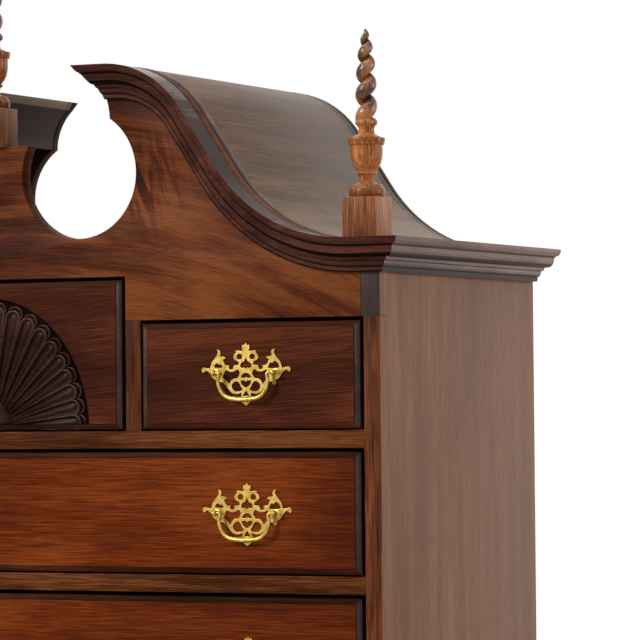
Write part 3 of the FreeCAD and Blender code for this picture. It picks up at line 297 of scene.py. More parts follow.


# The small drawers' patch is painted light along the lower part of the right-hand small drawer.
SMALL_WOOD = mahogany("small_drawer_mahogany", "x", [
    (0.028, 0.0056, 0.0024), (0.057, 0.0120, 0.0047), (0.120, 0.0290, 0.0098)],
    spread=0.10, turn=(0, math.radians(4), 0), ripple=0.7, zones=9, shares=(0.46, 0.16, 0.38),
    patches=[((0.30, 1.68), (0.15, 0.035), 0.07)])
# The long drawers' patches are painted light and shade: lighter right of the middle of the top
# long drawer, darker at its right end, and faintly lighter in a broad band lower down.
LONG_WOOD = mahogany("long_drawer_mahogany", "x", [
    (0.060, 0.0092, 0.0020), (0.126, 0.0208, 0.0030), (0.232, 0.0465, 0.0072)],
    spread=0.105, shares=(0.40, 0.16, 0.44),
    patches=[((0.31, 1.56), (0.17, 0.10), 0.07), ((0.49, 1.56), (0.14, 0.12), -0.12),
             ((0.10, 1.40), (0.42, 0.10), 0.03)])
EDGE_WOOD = mahogany("thumbnail_edge", "x", [
    (0.016, 0.0065, 0.0040), (0.032, 0.0125, 0.0080), (0.056, 0.0230, 0.0150)],
    gloss=(0.22, 0.30), specular=0.22)
# A darker copy of the thumbnail wood for the thumbnails' top and bottom strips: painted shade.
SHADED_LIP_WOOD = mahogany("thumbnail_painted_shade", "x", [
    (0.018, 0.0050, 0.0025), (0.036, 0.0100, 0.0045), (0.070, 0.0200, 0.0085)],
    specular=0.02)
RAIL_WOOD = mahogany("rail_mahogany", "x", [
    (0.055, 0.0130, 0.0032), (0.112, 0.0300, 0.0075), (0.190, 0.0600, 0.0170)],
    spread=0.065, bands=60, shares=(0.22, 0.32, 0.46))
# The uprights' patch is painted light on the lower part of the right front stile.
UPRIGHT_WOOD = mahogany("upright_mahogany", "z", [
    (0.048, 0.0110, 0.0034), (0.100, 0.0270, 0.0085), (0.190, 0.0560, 0.0190)],
    spread=0.06, bands=75, shares=(0.24, 0.38, 0.38),
    patches=[((0.50, 1.30), (0.10, 0.45), 0.03)])
DIVIDER_WOOD = mahogany("divider_mahogany", "z", [
    (0.034, 0.0085, 0.0030), (0.070, 0.0190, 0.0065), (0.120, 0.0360, 0.0130)],
    spread=0.06, bands=75, shares=(0.24, 0.38, 0.38))
BLOCK_WOOD = mahogany("frieze_block_mahogany", "z", [
    (0.020, 0.0120, 0.0095), (0.035, 0.0215, 0.0175), (0.056, 0.0360, 0.0290)],
    specular=0.22)
# The sides' wood: its tones, lighter and greyer than the front edges, are painted sheen, and its
# patch is a painted shadow of the cornice across the top of the upper sides.
SIDE_SHEEN_WOOD = mahogany("side_mahogany", "z", [
    (0.148, 0.0570, 0.0270), (0.205, 0.0860, 0.0400), (0.275, 0.1250, 0.0600)],
    zones=2.5, bands=36, threads=560, gloss=(0.42, 0.52), specular=0.22, spread=0.105,
    shares=(0.30, 0.30, 0.40), patches=[((0.51, 1.87), (0.30, 0.16), -0.05)], mirrored=True)
# The roof boards' patches are painted highlights where the roofs crest at the crown and turn at
# the foot of each sweep.
ROOF_WOOD = mahogany("roof_mahogany_painted_highlight", "y", [
    (0.066, 0.0340, 0.0180), (0.112, 0.0600, 0.0320), (0.185, 0.1080, 0.0600)],
    zones=3, bands=44, threads=520, gloss=(0.36, 0.48), specular=0.20, shares=(0.42, 0.28, 0.30),
    patches=[((0.17, 2.09), (0.14, 0.07), 0.09), ((0.46, 1.89), (0.14, 0.07), 0.07)],
    mirrored=True)
# Painted sheen for the moulding's flat top: its light tone is nearly white, and its patches
# brighten it at the crown and at the foot of each sweep, standing in for a reflection.
SHEEN_BAND_WOOD = mahogany("roof_front_painted_sheen", "y", [
    (0.022, 0.0110, 0.0055), (0.044, 0.0220, 0.0115), (0.235, 0.1950, 0.1800)],
    gloss=(0.22, 0.32), specular=0.035, spread=0.14, shares=(0.36, 0.36, 0.20), pores=0.1,
    patches=[((0.21, 2.085), (0.12, 0.06), 0.16), ((0.43, 1.885), (0.12, 0.06), 0.16)],
    mirrored=True)
# A very dark copy of the roof wood for the coves and the hood's back board: painted shade inside
# the hood.
COVE_SHADE_WOOD = mahogany("cove_painted_shade", "y", [
    (0.016, 0.0075, 0.0035), (0.034, 0.0160, 0.0080), (0.066, 0.0330, 0.0180)],
    specular=0.04)
SEAM_WOOD = mahogany("roof_edge_mahogany", "y", [
    (0.040, 0.0240, 0.0170), (0.070, 0.0450, 0.0320), (0.190, 0.0950, 0.0450)],
    specular=0.10, patches=[((0.40, 1.93), (0.16, 0.16), 0.09)], mirrored=True)
TYMPANUM_WOOD = tympanum_mahogany("tympanum_mahogany", [
    (0.032, 0.0082, 0.0040), (0.098, 0.0240, 0.0085), (0.205, 0.0590, 0.0180)])
# The moulding's patch is a painted highlight near the foot of each sweep.
MOULDING_WOOD = mahogany("moulding_mahogany", "x", [
    (0.034, 0.0100, 0.0060), (0.064, 0.0190, 0.0110), (0.115, 0.0370, 0.0210)],
    gloss=(0.22, 0.32), specular=0.06, spread=0.075, patches=[((0.46, 1.86), (0.13, 0.07), 0.07)],
    mirrored=True)
# A near-black copy of the moulding wood: painted shade in the moulding's hollows and undersides.
HOLLOW_SHADE_WOOD = mahogany("moulding_painted_shade", "x", [
    (0.0035, 0.0016, 0.0012), (0.006, 0.0028, 0.0020), (0.012, 0.0055, 0.0035)],
    specular=0.03)
CARVED_WOOD = mahogany("carved_mahogany", "x", [
    (0.012, 0.0050, 0.0035), (0.028, 0.0110, 0.0070), (0.060, 0.0240, 0.0150)],
    gloss=(0.22, 0.32), specular=0.05)
# A lighter copy of the carved wood for the petals' outer rims: painted highlight.
RIM_HIGHLIGHT_WOOD = mahogany("carved_rim_painted_highlight", "x", [
    (0.065, 0.0300, 0.0200), (0.120, 0.0600, 0.0420), (0.190, 0.1050, 0.0780)],
    gloss=(0.22, 0.32), specular=0.16)
# Near-black painted shade for the gaps round the drawer fronts and the fans' recesses, where only
# shade falls.
PAINTED_SHADE_WOOD = mahogany("painted_shade_ground", "x", [
    (0.004, 0.0025, 0.0020), (0.007, 0.0042, 0.0032), (0.012, 0.0070, 0.0050)],
    specular=0.0)
# Where the finials stand, as (x, z) in metres, and the painted light and shade up each urn:
# height over its foot, reach and lift. Painted shade darkens its foot, its neck and its upper
# rim, and a painted highlight lightens its bowl.
FINIAL_FEET = [(-0.486, 1.925), (0, 2.0455), (0.486, 1.925)]
FINIAL_PAINTED_SHADING = [(0.004, 0.014, -0.07), (0.021, 0.007, -0.06), (0.050, 0.022, 0.02),
                 (0.066, 0.006, -0.04)]
TURNED_WOOD = mahogany("turned_mahogany", "z", [
    (0.150, 0.0430, 0.0110), (0.330, 0.1020, 0.0260), (0.580, 0.2150, 0.0620)],
    zones=14, bands=170, threads=900, gloss=(0.20, 0.30), specular=0.18, spread=0.075,
    shares=(0.26, 0.22, 0.52),
    patches=[((x, foot + height), (0.05, reach), lift) for x, foot in FINIAL_FEET
             for height, reach, lift in FINIAL_PAINTED_SHADING])
# The lighter patch low on each twist is a painted highlight, standing in for glints on its turns.
TWIST_WOOD = mahogany("twist_mahogany", "z", [
    (0.030, 0.0120, 0.0060), (0.095, 0.0380, 0.0190), (0.400, 0.1500, 0.0550)],
    zones=38, bands=90, threads=700, gloss=(0.16, 0.26), specular=0.42, spread=0.09,
    shares=(0.50, 0.28, 0.22),
    patches=[((x, foot + 0.086), (0.04, 0.030), 0.22) for x, foot in FINIAL_FEET])
PLINTH_WOOD = mahogany("plinth_mahogany", "z", [
    (0.115, 0.0330, 0.0130), (0.250, 0.0820, 0.0330), (0.420, 0.1600, 0.0660)],
    zones=20, bands=110, threads=800, gloss=(0.36, 0.46), specular=0.07, spread=0.085,
    shares=(0.36, 0.20, 0.44))
# A lighter copy of the plinth wood for the faces that don't face the front: painted light on the
# lit sides.
PLINTH_LIT_SIDE = mahogany("plinth_side_painted_light", "z", [
    (0.260, 0.1050, 0.0480), (0.430, 0.1900, 0.0960), (0.560, 0.2800, 0.1650)],
    zones=20, bands=110, threads=800, specular=0.12, spread=0.085, shares=(0.36, 0.20, 0.44))
PINE = mahogany("inner_pine", "y", [
    (0.340, 0.190, 0.082), (0.470, 0.285, 0.132), (0.580, 0.385, 0.195)],
    gloss=(0.55, 0.7), pores=0.12, specular=0.15)
BACK_PINE = mahogany("back_pine", "x", [
    (0.190, 0.100, 0.046), (0.275, 0.158, 0.078), (0.370, 0.230, 0.122)],
    gloss=(0.6, 0.75), pores=0.15, specular=0.1, bands=55, shares=(0.30, 0.34, 0.36))
JOINT_PINE = mahogany("back_joint_pine", "x", [
    (0.020, 0.0110, 0.0060), (0.032, 0.0180, 0.0100), (0.050, 0.0300, 0.0170)],
    specular=0.0)
BRASS = golden_brass("satin_brass")
# The side cornices' wood is a lighter, greyer copy of the moulding wood, painted light on the
# sides, and the next is a near-black copy, painted shade in their hollows and undersides.
SIDE_CORNICE_LIT = mahogany("side_cornice_painted_light", "y", [
    (0.086, 0.0450, 0.0290), (0.150, 0.0820, 0.0570), (0.230, 0.1340, 0.0960)],
    gloss=(0.26, 0.36), specular=0.30)
SIDE_CORNICE_SHADE = mahogany("side_cornice_painted_shade", "y", [
    (0.014, 0.0085, 0.0065), (0.026, 0.0160, 0.0130), (0.044, 0.0290, 0.0240)],
    specular=0.15)


# --- Ways of making pieces ---

# Edges that turn by more than SHARP are rubbed down. A back's last board is at least
# LEAST_BOARD of a board's width.
SHARP = math.radians(35)
CASE_EDGE = 0.8
BACK_BOARD = 190
LEAST_BOARD = 0.3
JOINT_WIDTH = 1.6
JOINT_DEPTH = 2.0


def placed(name, data):
    """A new object in the scene."""
    thing = bpy.data.objects.new(name, data)
    bpy.context.scene.collection.objects.link(thing)
    return thing


def smooth(mesh, crease):
    """Shade a mesh smooth up to an angle in degrees."""
    mesh.shade_smooth()
    mesh.set_sharp_from_angle(angle=math.radians(crease))


def mesh_of(shape, name, finishes, crease=34):
    """A mesh from a bmesh, with its finishes, shaded smooth up to an angle."""
    mesh = bpy.data.meshes.new(name)
    shape.to_mesh(mesh)
    shape.free()
    stale = mesh.attributes.get("custom_normal")
    if stale:
        mesh.attributes.remove(stale)
    for finish in finishes:
        mesh.materials.append(finish)
    smooth(mesh, crease)
    return mesh


def stand(mesh, name, body, replaced=()):
    """Put a mesh in the scene as a piece that rides on a body."""
    thing = placed(name, mesh)
    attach(thing, body)
    if replaced:
        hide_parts(*replaced)
    return thing


def piece(shape, name, body, finishes, replaced=(), crease=34):
    """A finished piece: doubles merged, faces turned one way, dressed and on its body."""
    bmesh.ops.remove_doubles(shape, verts=shape.verts, dist=NEAR * MM)
    bmesh.ops.recalc_face_normals(shape, faces=shape.faces)
    return stand(mesh_of(shape, name, finishes, crease), name, body, replaced)


def mirrored_piece(mesh, name, replaced=()):
    """The same mesh on the other side of the middle, as a piece of the case."""
    shape = bmesh.new()
    shape.from_mesh(mesh)
    bmesh.ops.scale(shape, vec=(-1, 1, 1), verts=shape.verts)
    bmesh.ops.reverse_faces(shape, faces=shape.faces)
    stand(mesh_of(shape, name, mesh.materials), name, CASE, replaced)


def corners_in(made):
    return [v for v in made if isinstance(v, bmesh.types.BMVert)]


def edges_in(made):
    return [e for e in made if isinstance(e, bmesh.types.BMEdge)]


def sliced(shape, spot, away, clear=False):
    """Cut a shape along a plane; `clear` drops what lies beyond it. Returns the cut."""
    geometry = shape.verts[:] + shape.edges[:] + shape.faces[:]
    return bmesh.ops.bisect_plane(shape, geom=geometry, plane_co=spot, plane_no=away,
                                  clear_outer=clear)["geom_cut"]


def ease(shape, edge):
    """Rub down every sharp edge of a shape."""
    sharp = [e for e in shape.edges if len(e.link_faces) == 2 and e.calc_face_angle(0) > SHARP]
    bmesh.ops.bevel(shape, geom=sharp, offset=edge * MM, segments=2, profile=0.5,
                    affect="EDGES", material=-1, clamp_overlap=True)


def boarded(shape):
    """Scribe the V joints of horizontal boards across a back."""
    width = BACK_BOARD * MM
    rear = max(v.co.y for v in shape.verts)
    high = max(v.co.z for v in shape.verts)
    level = min(v.co.z for v in shape.verts) + width
    while level < high - LEAST_BOARD * width:
        for height in (level - JOINT_WIDTH * MM, level, level + JOINT_WIDTH * MM):
            sliced(shape, (0, 0, height), UP)
        for vertex in shape.verts:
            if abs(vertex.co.z - level) < NEAR * MM and abs(vertex.co.y - rear) < NEAR * MM:
                vertex.co.y -= JOINT_DEPTH * MM
        level += width


def board_or_joint(normal):
    """Back boards: their faces, their scribed joints, and all that doesn't face back."""
    if normal.y > 0.3:
        return 1 if abs(normal.z) > 0.5 and abs(normal.x) < 0.1 else 0
    return 2


# Faces that face the front take the first finish and the rest the second, a lighter copy with
# painted light on the sides.
def front_or_side(normal):
    return 0 if normal.y < -0.6 else 1


def eased(node, name, finishes, choose=None):
    """A CAD node with its edges rubbed down; `choose` picks a finish by a face's normal."""
    shape = bmesh.new()
    shape.from_mesh(frame["nodes"][node].data)
    bmesh.ops.remove_doubles(shape, verts=shape.verts, dist=2 * NEAR * MM)
    bmesh.ops.dissolve_limit(shape, angle_limit=math.radians(0.5), verts=shape.verts,
                             edges=shape.edges)
    ease(shape, CASE_EDGE)
    if choose is board_or_joint:
        boarded(shape)
    for face in shape.faces:
        face.material_index = choose(face.normal) if choose else 0
    piece(shape, name, CASE, finishes, [node], 25)


def block(shape, low, high):
    """A box between two corners, in metres; returns its vertices."""
    made = bmesh.ops.create_cube(shape, size=1)["verts"]
    bmesh.ops.scale(shape, vec=high - low, verts=made)
    bmesh.ops.translate(shape, vec=(low + high) / 2, verts=made)
    return made


def ring(shape, profile, origin, outward):
    """A closed chain of edges along a profile of (projection, height) points."""
    corners = [shape.verts.new(origin + outward * p * MM + UP * h * MM) for p, h in profile]
    return [shape.edges.new(pair) for pair in zip(corners, corners[1:] + corners[:1])]


def straight_run(shape, edges, along):
    """Draw a ring of edges along a straight; returns the ring at its end."""
    made = bmesh.ops.extrude_edge_only(shape, edges=edges)["geom"]
    bmesh.ops.translate(shape, vec=along, verts=corners_in(made))
    return edges_in(made)


def bent(shape, edges, centre, angle):
    """Draw a ring of edges round a centre; returns the ring at its end."""
    corners = list({v for e in edges for v in e.verts})
    made = bmesh.ops.spin(shape, geom=corners + edges, cent=centre, axis=(0, 1, 0),
                          angle=angle, steps=SWEEP_STEPS)
    return edges_in(made["geom_last"])


def turned(shape, profile, foot, up, steps):
    """A turned shape: a profile of (radius, height) points, spun about its axis."""
    side = Vector((1, 0, 0))
    points = [shape.verts.new(foot + (side * r + up * h) * MM) for r, h in profile]
    edges = [shape.edges.new(pair) for pair in zip(points, points[1:])]
    bmesh.ops.spin(shape, geom=points + edges, cent=foot, axis=up, angle=2 * math.pi,
                   steps=steps, use_merge=True)


def prism(shape, outline, front, back):
    """A board cut to an outline of (x, z) points, between two planes of y."""
    corners = [shape.verts.new((x * MM, front, z * MM)) for x, z in outline]
    face = shape.faces.new(corners)
    made = bmesh.ops.extrude_face_region(shape, geom=[face])["geom"]
    bmesh.ops.translate(shape, vec=(0, back - front, 0), verts=corners_in(made))


def arc(x, z, radius, start, end, steps):
    """Points on an arc about (x, z), from one angle in degrees to another."""
    angles = [math.radians(start + (end - start) * i / steps) for i in range(steps + 1)]
    return [(x + radius * math.cos(a), z + radius * math.sin(a)) for a in angles]


def finished_mesh(thing):
    """The mesh that a curve or a sawn piece comes to."""
    graph = bpy.context.evaluated_depsgraph_get()
    return bpy.data.meshes.new_from_object(thing.evaluated_get(graph))


def cut_away(thing, tool):
    """Saw a tool's shape out of a piece and keep the result as its mesh."""
    saw = thing.modifiers.new("saw", "BOOLEAN")
    saw.operation = "DIFFERENCE"
    saw.solver = "EXACT"
    saw.object = tool
    made = finished_mesh(thing)
    bpy.data.objects.remove(tool)
    bpy.data.objects.remove(thing)
    return made


def strung(curve, spots, sorts):
    """A smooth line in a curve through spots, each with its sort of handle."""
    spline = curve.splines.new("BEZIER")
    spline.bezier_points.add(len(spots) - 1)
    for knot, spot, sort in zip(spline.bezier_points, spots, sorts):
        knot.co = spot
        knot.handle_left_type = sort
        knot.handle_right_type = sort
    return spline


def drawn(curve):
    """The mesh of a curve."""
    thing = placed(curve.name, curve)
    mesh = finished_mesh(thing)
    bpy.data.objects.remove(thing)
    return mesh


# --- Planes and lines of the case, from its nodes ---

side_low, side_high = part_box("upper_side_right")
cornice_low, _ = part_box("side_cornices")
HALF_UPPER = side_high.x / MM
UPPER_FACE = side_low.y
CASE_BACK = side_high.y
CORNICE = cornice_low.z / MM
MOULDING_HEIGHT = 39
SCROLL_ANGLE = math.radians(56.85)
FOOT_RADIUS = 230.5
CROWN_RADIUS = 82
SLOPE_LENGTH = 82
FOOT_X = HALF_UPPER - 30.5
SCROLL_TIP = 132.4
COVE_X = 95
COVE_RADIUS = 69
ROUND_X = 122
ROUND_Z = CORNICE + 124
ROUND_RADIUS = 76.5
TYMPANUM_THICKNESS = 20
ROOF_THICKNESS = 10
COVE_THICKNESS = 12
HOOD_SETBACK = 15
SWEEP_STEPS = 26
ROOF_STEPS = 22


def cusp_height():
    """Height of the cusp, where the cove stands on the round opening."""
    reach = COVE_X + COVE_RADIUS - ROUND_X
    return ROUND_Z + math.sqrt(ROUND_RADIUS ** 2 - reach ** 2)


def scroll_line(offset, inner):
    """The right swan-neck line as (x, z) points, from its outer end to its inner end."""
    lean = math.degrees(SCROLL_ANGLE)
    points = [(HALF_UPPER, CORNICE + offset)]
    points += arc(FOOT_X, CORNICE + FOOT_RADIUS, FOOT_RADIUS - offset, -90, -90 - lean,
                  ROOF_STEPS)
    x, z = crown_centre()
    crown = CROWN_RADIUS + offset
    points += arc(x, z, crown, 90 - lean, 90, ROOF_STEPS)
    return points + [(inner, z + crown)]


def crown_centre():
    """Centre of the upper sweep."""
    sine, cosine = math.sin(SCROLL_ANGLE), math.cos(SCROLL_ANGLE)
    end = (FOOT_X - FOOT_RADIUS * sine, CORNICE + FOOT_RADIUS * (1 - cosine))
    start = (end[0] - SLOPE_LENGTH * cosine, end[1] + SLOPE_LENGTH * sine)
    return start[0] - CROWN_RADIUS * sine, start[1] - CROWN_RADIUS * cosine


def brow_height():
    """Height of the roofs' underside at the crown."""
    return crown_centre()[1] + CROWN_RADIUS + MOULDING_HEIGHT - ROOF_THICKNESS


def brow_angle(radius):
    """Degrees round a cove, from the cusp's level up to the roofs' underside."""
    return math.degrees(math.asin((brow_height() - cusp_height()) / radius))


# --- Mouldings ---

# The moulding's finishes: its wood, painted shade in its hollows, and painted sheen on its flat
# top.
MOULDING_FINISHES = [MOULDING_WOOD, HOLLOW_SHADE_WOOD, SHEEN_BAND_WOOD]
# How far out the moulding's hollows and undersides lie, in pairs from and to, which take painted
# shade, and the middle of its flat top, which takes painted sheen.
HOLLOWS = [(5.3, 5.5), (6.2, 8.8), (10.8, 14.6), (15.2, 26.0), (28.4, 30.5)]
HOLLOW_SLACK = 0.05
TOP_MIDDLE = (18.6, 19.2)
# How far a run goes past the corner where it is mitred, and the saw's room round the gap.
RUN_PAST = 45
SAW_ABOVE = 20
SAW_BELOW = 90
SAW_FRONT = 60
SAW_BACK = 5


def quarter(start, end, steps=5):
    """Points of a rounded member between two corners of a profile, both left out."""
    points = []
    for i in range(1, steps):
        turn = math.pi / 2 * i / steps
        points.append((start[0] + (end[0] - start[0]) * math.sin(turn),
                       start[1] + (end[1] - start[1]) * (1 - math.cos(turn))))
    return points


def cornice_section():
    """The cornice's profile: fillets, a bead, and two broad quarter rounds."""
    section = [(0, 0), (5.3, 0), (5.5, 1.3), (6.1, 1.6), (6.2, 5.6), (8.8, 6.2), (8.8, 7.4)]
    section += quarter((8.8, 7.4), (10.8, 11.4), 4)
    section += [(10.8, 12.6), (14.6, 13.2), (15.2, 16.6), (19.2, 17.0)]
    section += quarter((19.2, 17.0), (28.2, 26.0))
    section += [(28.2, 26.0), (28.4, 28.6), (30.4, 29.2), (30.6, 30.4)]
    section += quarter((30.6, 30.4), (37.4, 36.6))
    section += [(37.4, 36.6), (37.8, MOULDING_HEIGHT), (0, MOULDING_HEIGHT)]
    return section


def shade_hollows(shape, projection):
    """Paint shade into a moulding's hollows and undersides with a darker finish, and sheen onto
    its flat top with a finish of its own.

    The ends, which have more corners, keep the first finish."""
    shape.normal_update()
    for face in shape.faces:
        reach = projection(face.calc_center_median()) / MM
        if len(face.verts) > 4:
            continue
        if any(start - HOLLOW_SLACK < reach < end + HOLLOW_SLACK for start, end in HOLLOWS):
            face.material_index = 1
        if TOP_MIDDLE[0] < reach < TOP_MIDDLE[1]:
            face.material_index = 2


def gap_outline():
    """The gap between the scrolls, with room for the saw above and below."""
    level = cusp_height()
    top = brow_height() + ROOF_THICKNESS
    outline = [(0, top + SAW_ABOVE), (0, level - SAW_BELOW),
               (COVE_X + COVE_RADIUS, level - SAW_BELOW)]
    outline += arc(COVE_X, level, COVE_RADIUS, 0, brow_angle(COVE_RADIUS), 14)
    return outline + [(SCROLL_TIP, top), (SCROLL_TIP, top + SAW_ABOVE)]


def swan_necks():
    """The front moulding: level, up the lower sweep, over the crown and in to the tip."""
    shape = bmesh.new()
    start = Vector(((HALF_UPPER + RUN_PAST) * MM, UPPER_FACE, CORNICE * MM))
    edges = ring(shape, cornice_section(), start, FORWARD)
    bmesh.ops.contextual_create(shape, geom=edges)
    edges = straight_run(shape, edges, Vector((FOOT_X * MM - start.x, 0, 0)))
    foot = Vector((FOOT_X, 0, CORNICE + FOOT_RADIUS)) * MM
    edges = bent(shape, edges, foot, SCROLL_ANGLE)
    slope = Vector((-math.cos(SCROLL_ANGLE), 0, math.sin(SCROLL_ANGLE)))
    edges = straight_run(shape, edges, slope * SLOPE_LENGTH * MM)
    x, z = crown_centre()
    edges = bent(shape, edges, Vector((x, 0, z)) * MM, -SCROLL_ANGLE)
    edges = straight_run(shape, edges, Vector((COVE_X / 2 - x, 0, 0)) * MM)
    bmesh.ops.contextual_create(shape, geom=edges)
    bmesh.ops.recalc_face_normals(shape, faces=shape.faces)
    shade_hollows(shape, lambda spot: UPPER_FACE - spot.y)
    mitre(shape, Vector((1, 1, 0)))
    bmesh.ops.recalc_face_normals(shape, faces=shape.faces)
    whole = placed("whole", mesh_of(shape, "whole", MOULDING_FINISHES))

    cutter = bmesh.new()
    prism(cutter, gap_outline(), UPPER_FACE - SAW_FRONT * MM, UPPER_FACE + SAW_BACK * MM)
    bmesh.ops.recalc_face_normals(cutter, faces=cutter.faces)
    right = cut_away(whole, placed("tool", mesh_of(cutter, "tool", MOULDING_FINISHES)))
    smooth(right, 34)
    stand(right, "swan_neck_right_moulding", CASE, ["swan_neck_right"])
    mirrored_piece(right, "swan_neck_left_moulding", ["swan_neck_left"])


def mitre(shape, away):
    """Saw a run off along the plane that halves the case's front right corner."""
    corner = Vector((HALF_UPPER * MM, UPPER_FACE, 0))
    cut = sliced(shape, corner, away, clear=True)
    bmesh.ops.contextual_create(shape, geom=edges_in(cut))


def side_cornices():
    """The level cornice along each side, mitred in front and square at the back."""
    shape = bmesh.new()
    start = Vector((HALF_UPPER * MM, CASE_BACK, CORNICE * MM))
    edges = ring(shape, cornice_section(), start, Vector((1, 0, 0)))
    bmesh.ops.contextual_create(shape, geom=edges)
    length = CASE_BACK - UPPER_FACE + RUN_PAST * MM
    edges = straight_run(shape, edges, FORWARD * length)
    bmesh.ops.contextual_create(shape, geom=edges)
    shade_hollows(shape, lambda spot: spot.x - HALF_UPPER * MM)
    mitre(shape, Vector((-1, -1, 0)))
    right = piece(shape, "side_cornice_right", CASE,
                  [SIDE_CORNICE_LIT, SIDE_CORNICE_SHADE, SIDE_CORNICE_LIT], ["side_cornices"])
    mirrored_piece(right.data, "side_cornice_left")


# --- Hood ---

# The roofs' strips: the facing in front, the joints and the strip at the back.
FACING = 13.6
FRONT_JOINT = 0.6
BACK_STRIP = 9
BACK_JOINT = 0.4
TIP_UNDERCUT = 6
HOOD_EDGE = 0.6


def hood_roofs():
    """S-shaped roof boards from the tympanum back, with a facing strip at each end."""
    front = UPPER_FACE + TYMPANUM_THICKNESS * MM
    back = CASE_BACK - HOOD_SETBACK * MM
    for label, near, far, lift, finish in (
            ("front", front + FRONT_JOINT * MM, front + FACING * MM, 0.6, SEAM_WOOD),
            ("middle", front + (FACING + FRONT_JOINT) * MM,
             back - (BACK_STRIP + BACK_JOINT) * MM, 0, ROOF_WOOD),
            ("back", back - BACK_STRIP * MM, back, 0.2, ROOF_WOOD)):
        shape = bmesh.new()
        crown = scroll_line(MOULDING_HEIGHT + lift, SCROLL_TIP)
        under = scroll_line(MOULDING_HEIGHT - ROOF_THICKNESS, SCROLL_TIP + TIP_UNDERCUT)
        prism(shape, crown + under[::-1], near, far)
        ease(shape, HOOD_EDGE)
        right = piece(shape, "hood_roof_right_" + label, CASE, [finish],
                      ["hood_roofs"] if label == "middle" else [], 25)
        mirrored_piece(right.data, "hood_roof_left_" + label)


def hood_coves():
    """The hollowed boards that close the hood at its gap."""
    outer = COVE_RADIUS + COVE_THICKNESS
    hollow = arc(COVE_X, cusp_height(), COVE_RADIUS, 0, brow_angle(COVE_RADIUS), 16)
    behind = arc(COVE_X, cusp_height(), outer, brow_angle(outer), 0, 16)
    shape = bmesh.new()
    prism(shape, hollow + behind, UPPER_FACE + TYMPANUM_THICKNESS * MM,
          CASE_BACK - HOOD_SETBACK * MM)
    ease(shape, HOOD_EDGE)
    right = piece(shape, "hood_cove_right", CASE, [COVE_SHADE_WOOD],
                  ["hood_cove_boards"])
    mirrored_piece(right.data, "hood_cove_left")


# --- Finials ---

URN = [(0, 0), (18.4, 0), (19.6, 0.5), (20.5, 2.2), (20.8, 5), (20.7, 8), (20.0, 10.2),
       (18.9, 11.4), (18.4, 12.2), (18.2, 13.6), (16.8, 14.6), (12.4, 15.2), (10.2, 16.6),
       (8.8, 18.8), (8.3, 21), (8.7, 23.4), (9.8, 25.4),
       (10.8, 26), (11.9, 26.5), (12.2, 27.7), (11.9, 28.9), (10.7, 29.4), (10.7, 30),
       (12.6, 32), (14.9, 35.5), (16.6, 39.5), (17.7, 44), (18.3, 49), (18.4, 54),
       (18.2, 59.6), (18.3, 60), (20.0, 60.1), (20.4, 60.8), (21.0, 64), (21.4, 67),
       (21.0, 67.7), (18.2, 67.9), (17.0, 68.8), (13.4, 70.6), (10.6, 71.8), (9.5, 73.2),
       (9.0, 76), (9.1, 79), (9.8, 81.4), (10.8, 82.1), (12.3, 83.4), (12.8, 85.6),
       (12.2, 88), (10.4, 90.2), (7.5, 91.6), (4, 92.2), (0, 92.3)]
TWIST_START = 88
TWIST_HEIGHT = 105
TWIST_TURNS = 5.1
TWIST_RADIUS = 5.0
TWIST_BEARING = math.radians(170)
# Powers by which the turns close up and the twist tapers, and the share kept at its tip.
TWIST_CLOSING = 1.4
TWIST_SWELL = 3
TWIST_TAPER = 0.6
TWIST_TIP = 0.13
STRAND_RADIUS = 7.7
STRAND_SIDES = 20
STEPS_TO_A_TURN = 28
PLINTH_WIDTH = 43.5
PLINTH_SEARCH = 1.1


def finials():
    """Urn finials with corkscrew spires, one over each front corner and one in the middle."""
    plinths = frame["nodes"]["plinths"].data.vertices
    low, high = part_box("plinths")
    half = PLINTH_WIDTH / 2 * MM
    feet = {"left": Vector((low.x + half, 0, 0)), "right": Vector((high.x - half, 0, 0)),
            "middle": Vector((0, 0, 0))}
    for side, foot in feet.items():
        near = [v.co for v in plinths if abs(v.co.x - foot.x) < PLINTH_SEARCH * half]
        foot.y = sum(p.y for p in near) / len(near)
        foot.z = max(p.z for p in near)
        shape = bmesh.new()
        turned(shape, URN, foot, UP, 40)
        piece(shape, "finial_%s_urn" % side, CASE, [TURNED_WOOD],
              ["finials"] if side == "middle" else [], 50)
        twist = bmesh.new()
        corkscrew(twist, foot + UP * TWIST_START * MM)
        piece(twist, "finial_%s_twist" % side, CASE, [TWIST_WOOD], [], 70)


def corkscrew(shape, foot):
    """A single thick twist whose turns close up as it tapers to a point."""
    steps = int(TWIST_TURNS * STEPS_TO_A_TURN)
    made = bmesh.ops.create_circle(shape, cap_ends=True, segments=STRAND_SIDES,
                                   radius=STRAND_RADIUS * MM)["verts"]
    lean = Vector((math.cos(TWIST_BEARING), math.sin(TWIST_BEARING), 0))
    climb = math.atan2(TWIST_HEIGHT / TWIST_TURNS, 2 * math.pi * TWIST_RADIUS)
    tilt = Matrix.Rotation(climb - math.pi / 2, 4, lean)
    bmesh.ops.transform(shape, matrix=tilt, verts=made)
    bmesh.ops.translate(shape, vec=foot + lean * TWIST_RADIUS * MM, verts=made)
    start = list(shape.faces)
    bmesh.ops.spin(shape, geom=made + [e for f in start for e in f.edges] + start,
                   cent=foot, axis=UP, angle=2 * math.pi * TWIST_TURNS,
                   dvec=(0, 0, TWIST_HEIGHT * MM / steps), steps=steps)
    for vertex in shape.verts:
        turn = min(1, (vertex.co.z - foot.z) / (TWIST_HEIGHT * MM))
        share = 1 - (1 - turn) ** TWIST_CLOSING
        width = max(TWIST_TIP, (1 - share ** TWIST_SWELL) ** TWIST_TAPER)
        vertex.co.x = foot.x + (vertex.co.x - foot.x) * width
        vertex.co.y = foot.y + (vertex.co.y - foot.y) * width
        vertex.co.z = foot.z + TWIST_HEIGHT * MM * share


# --- Drawers ---

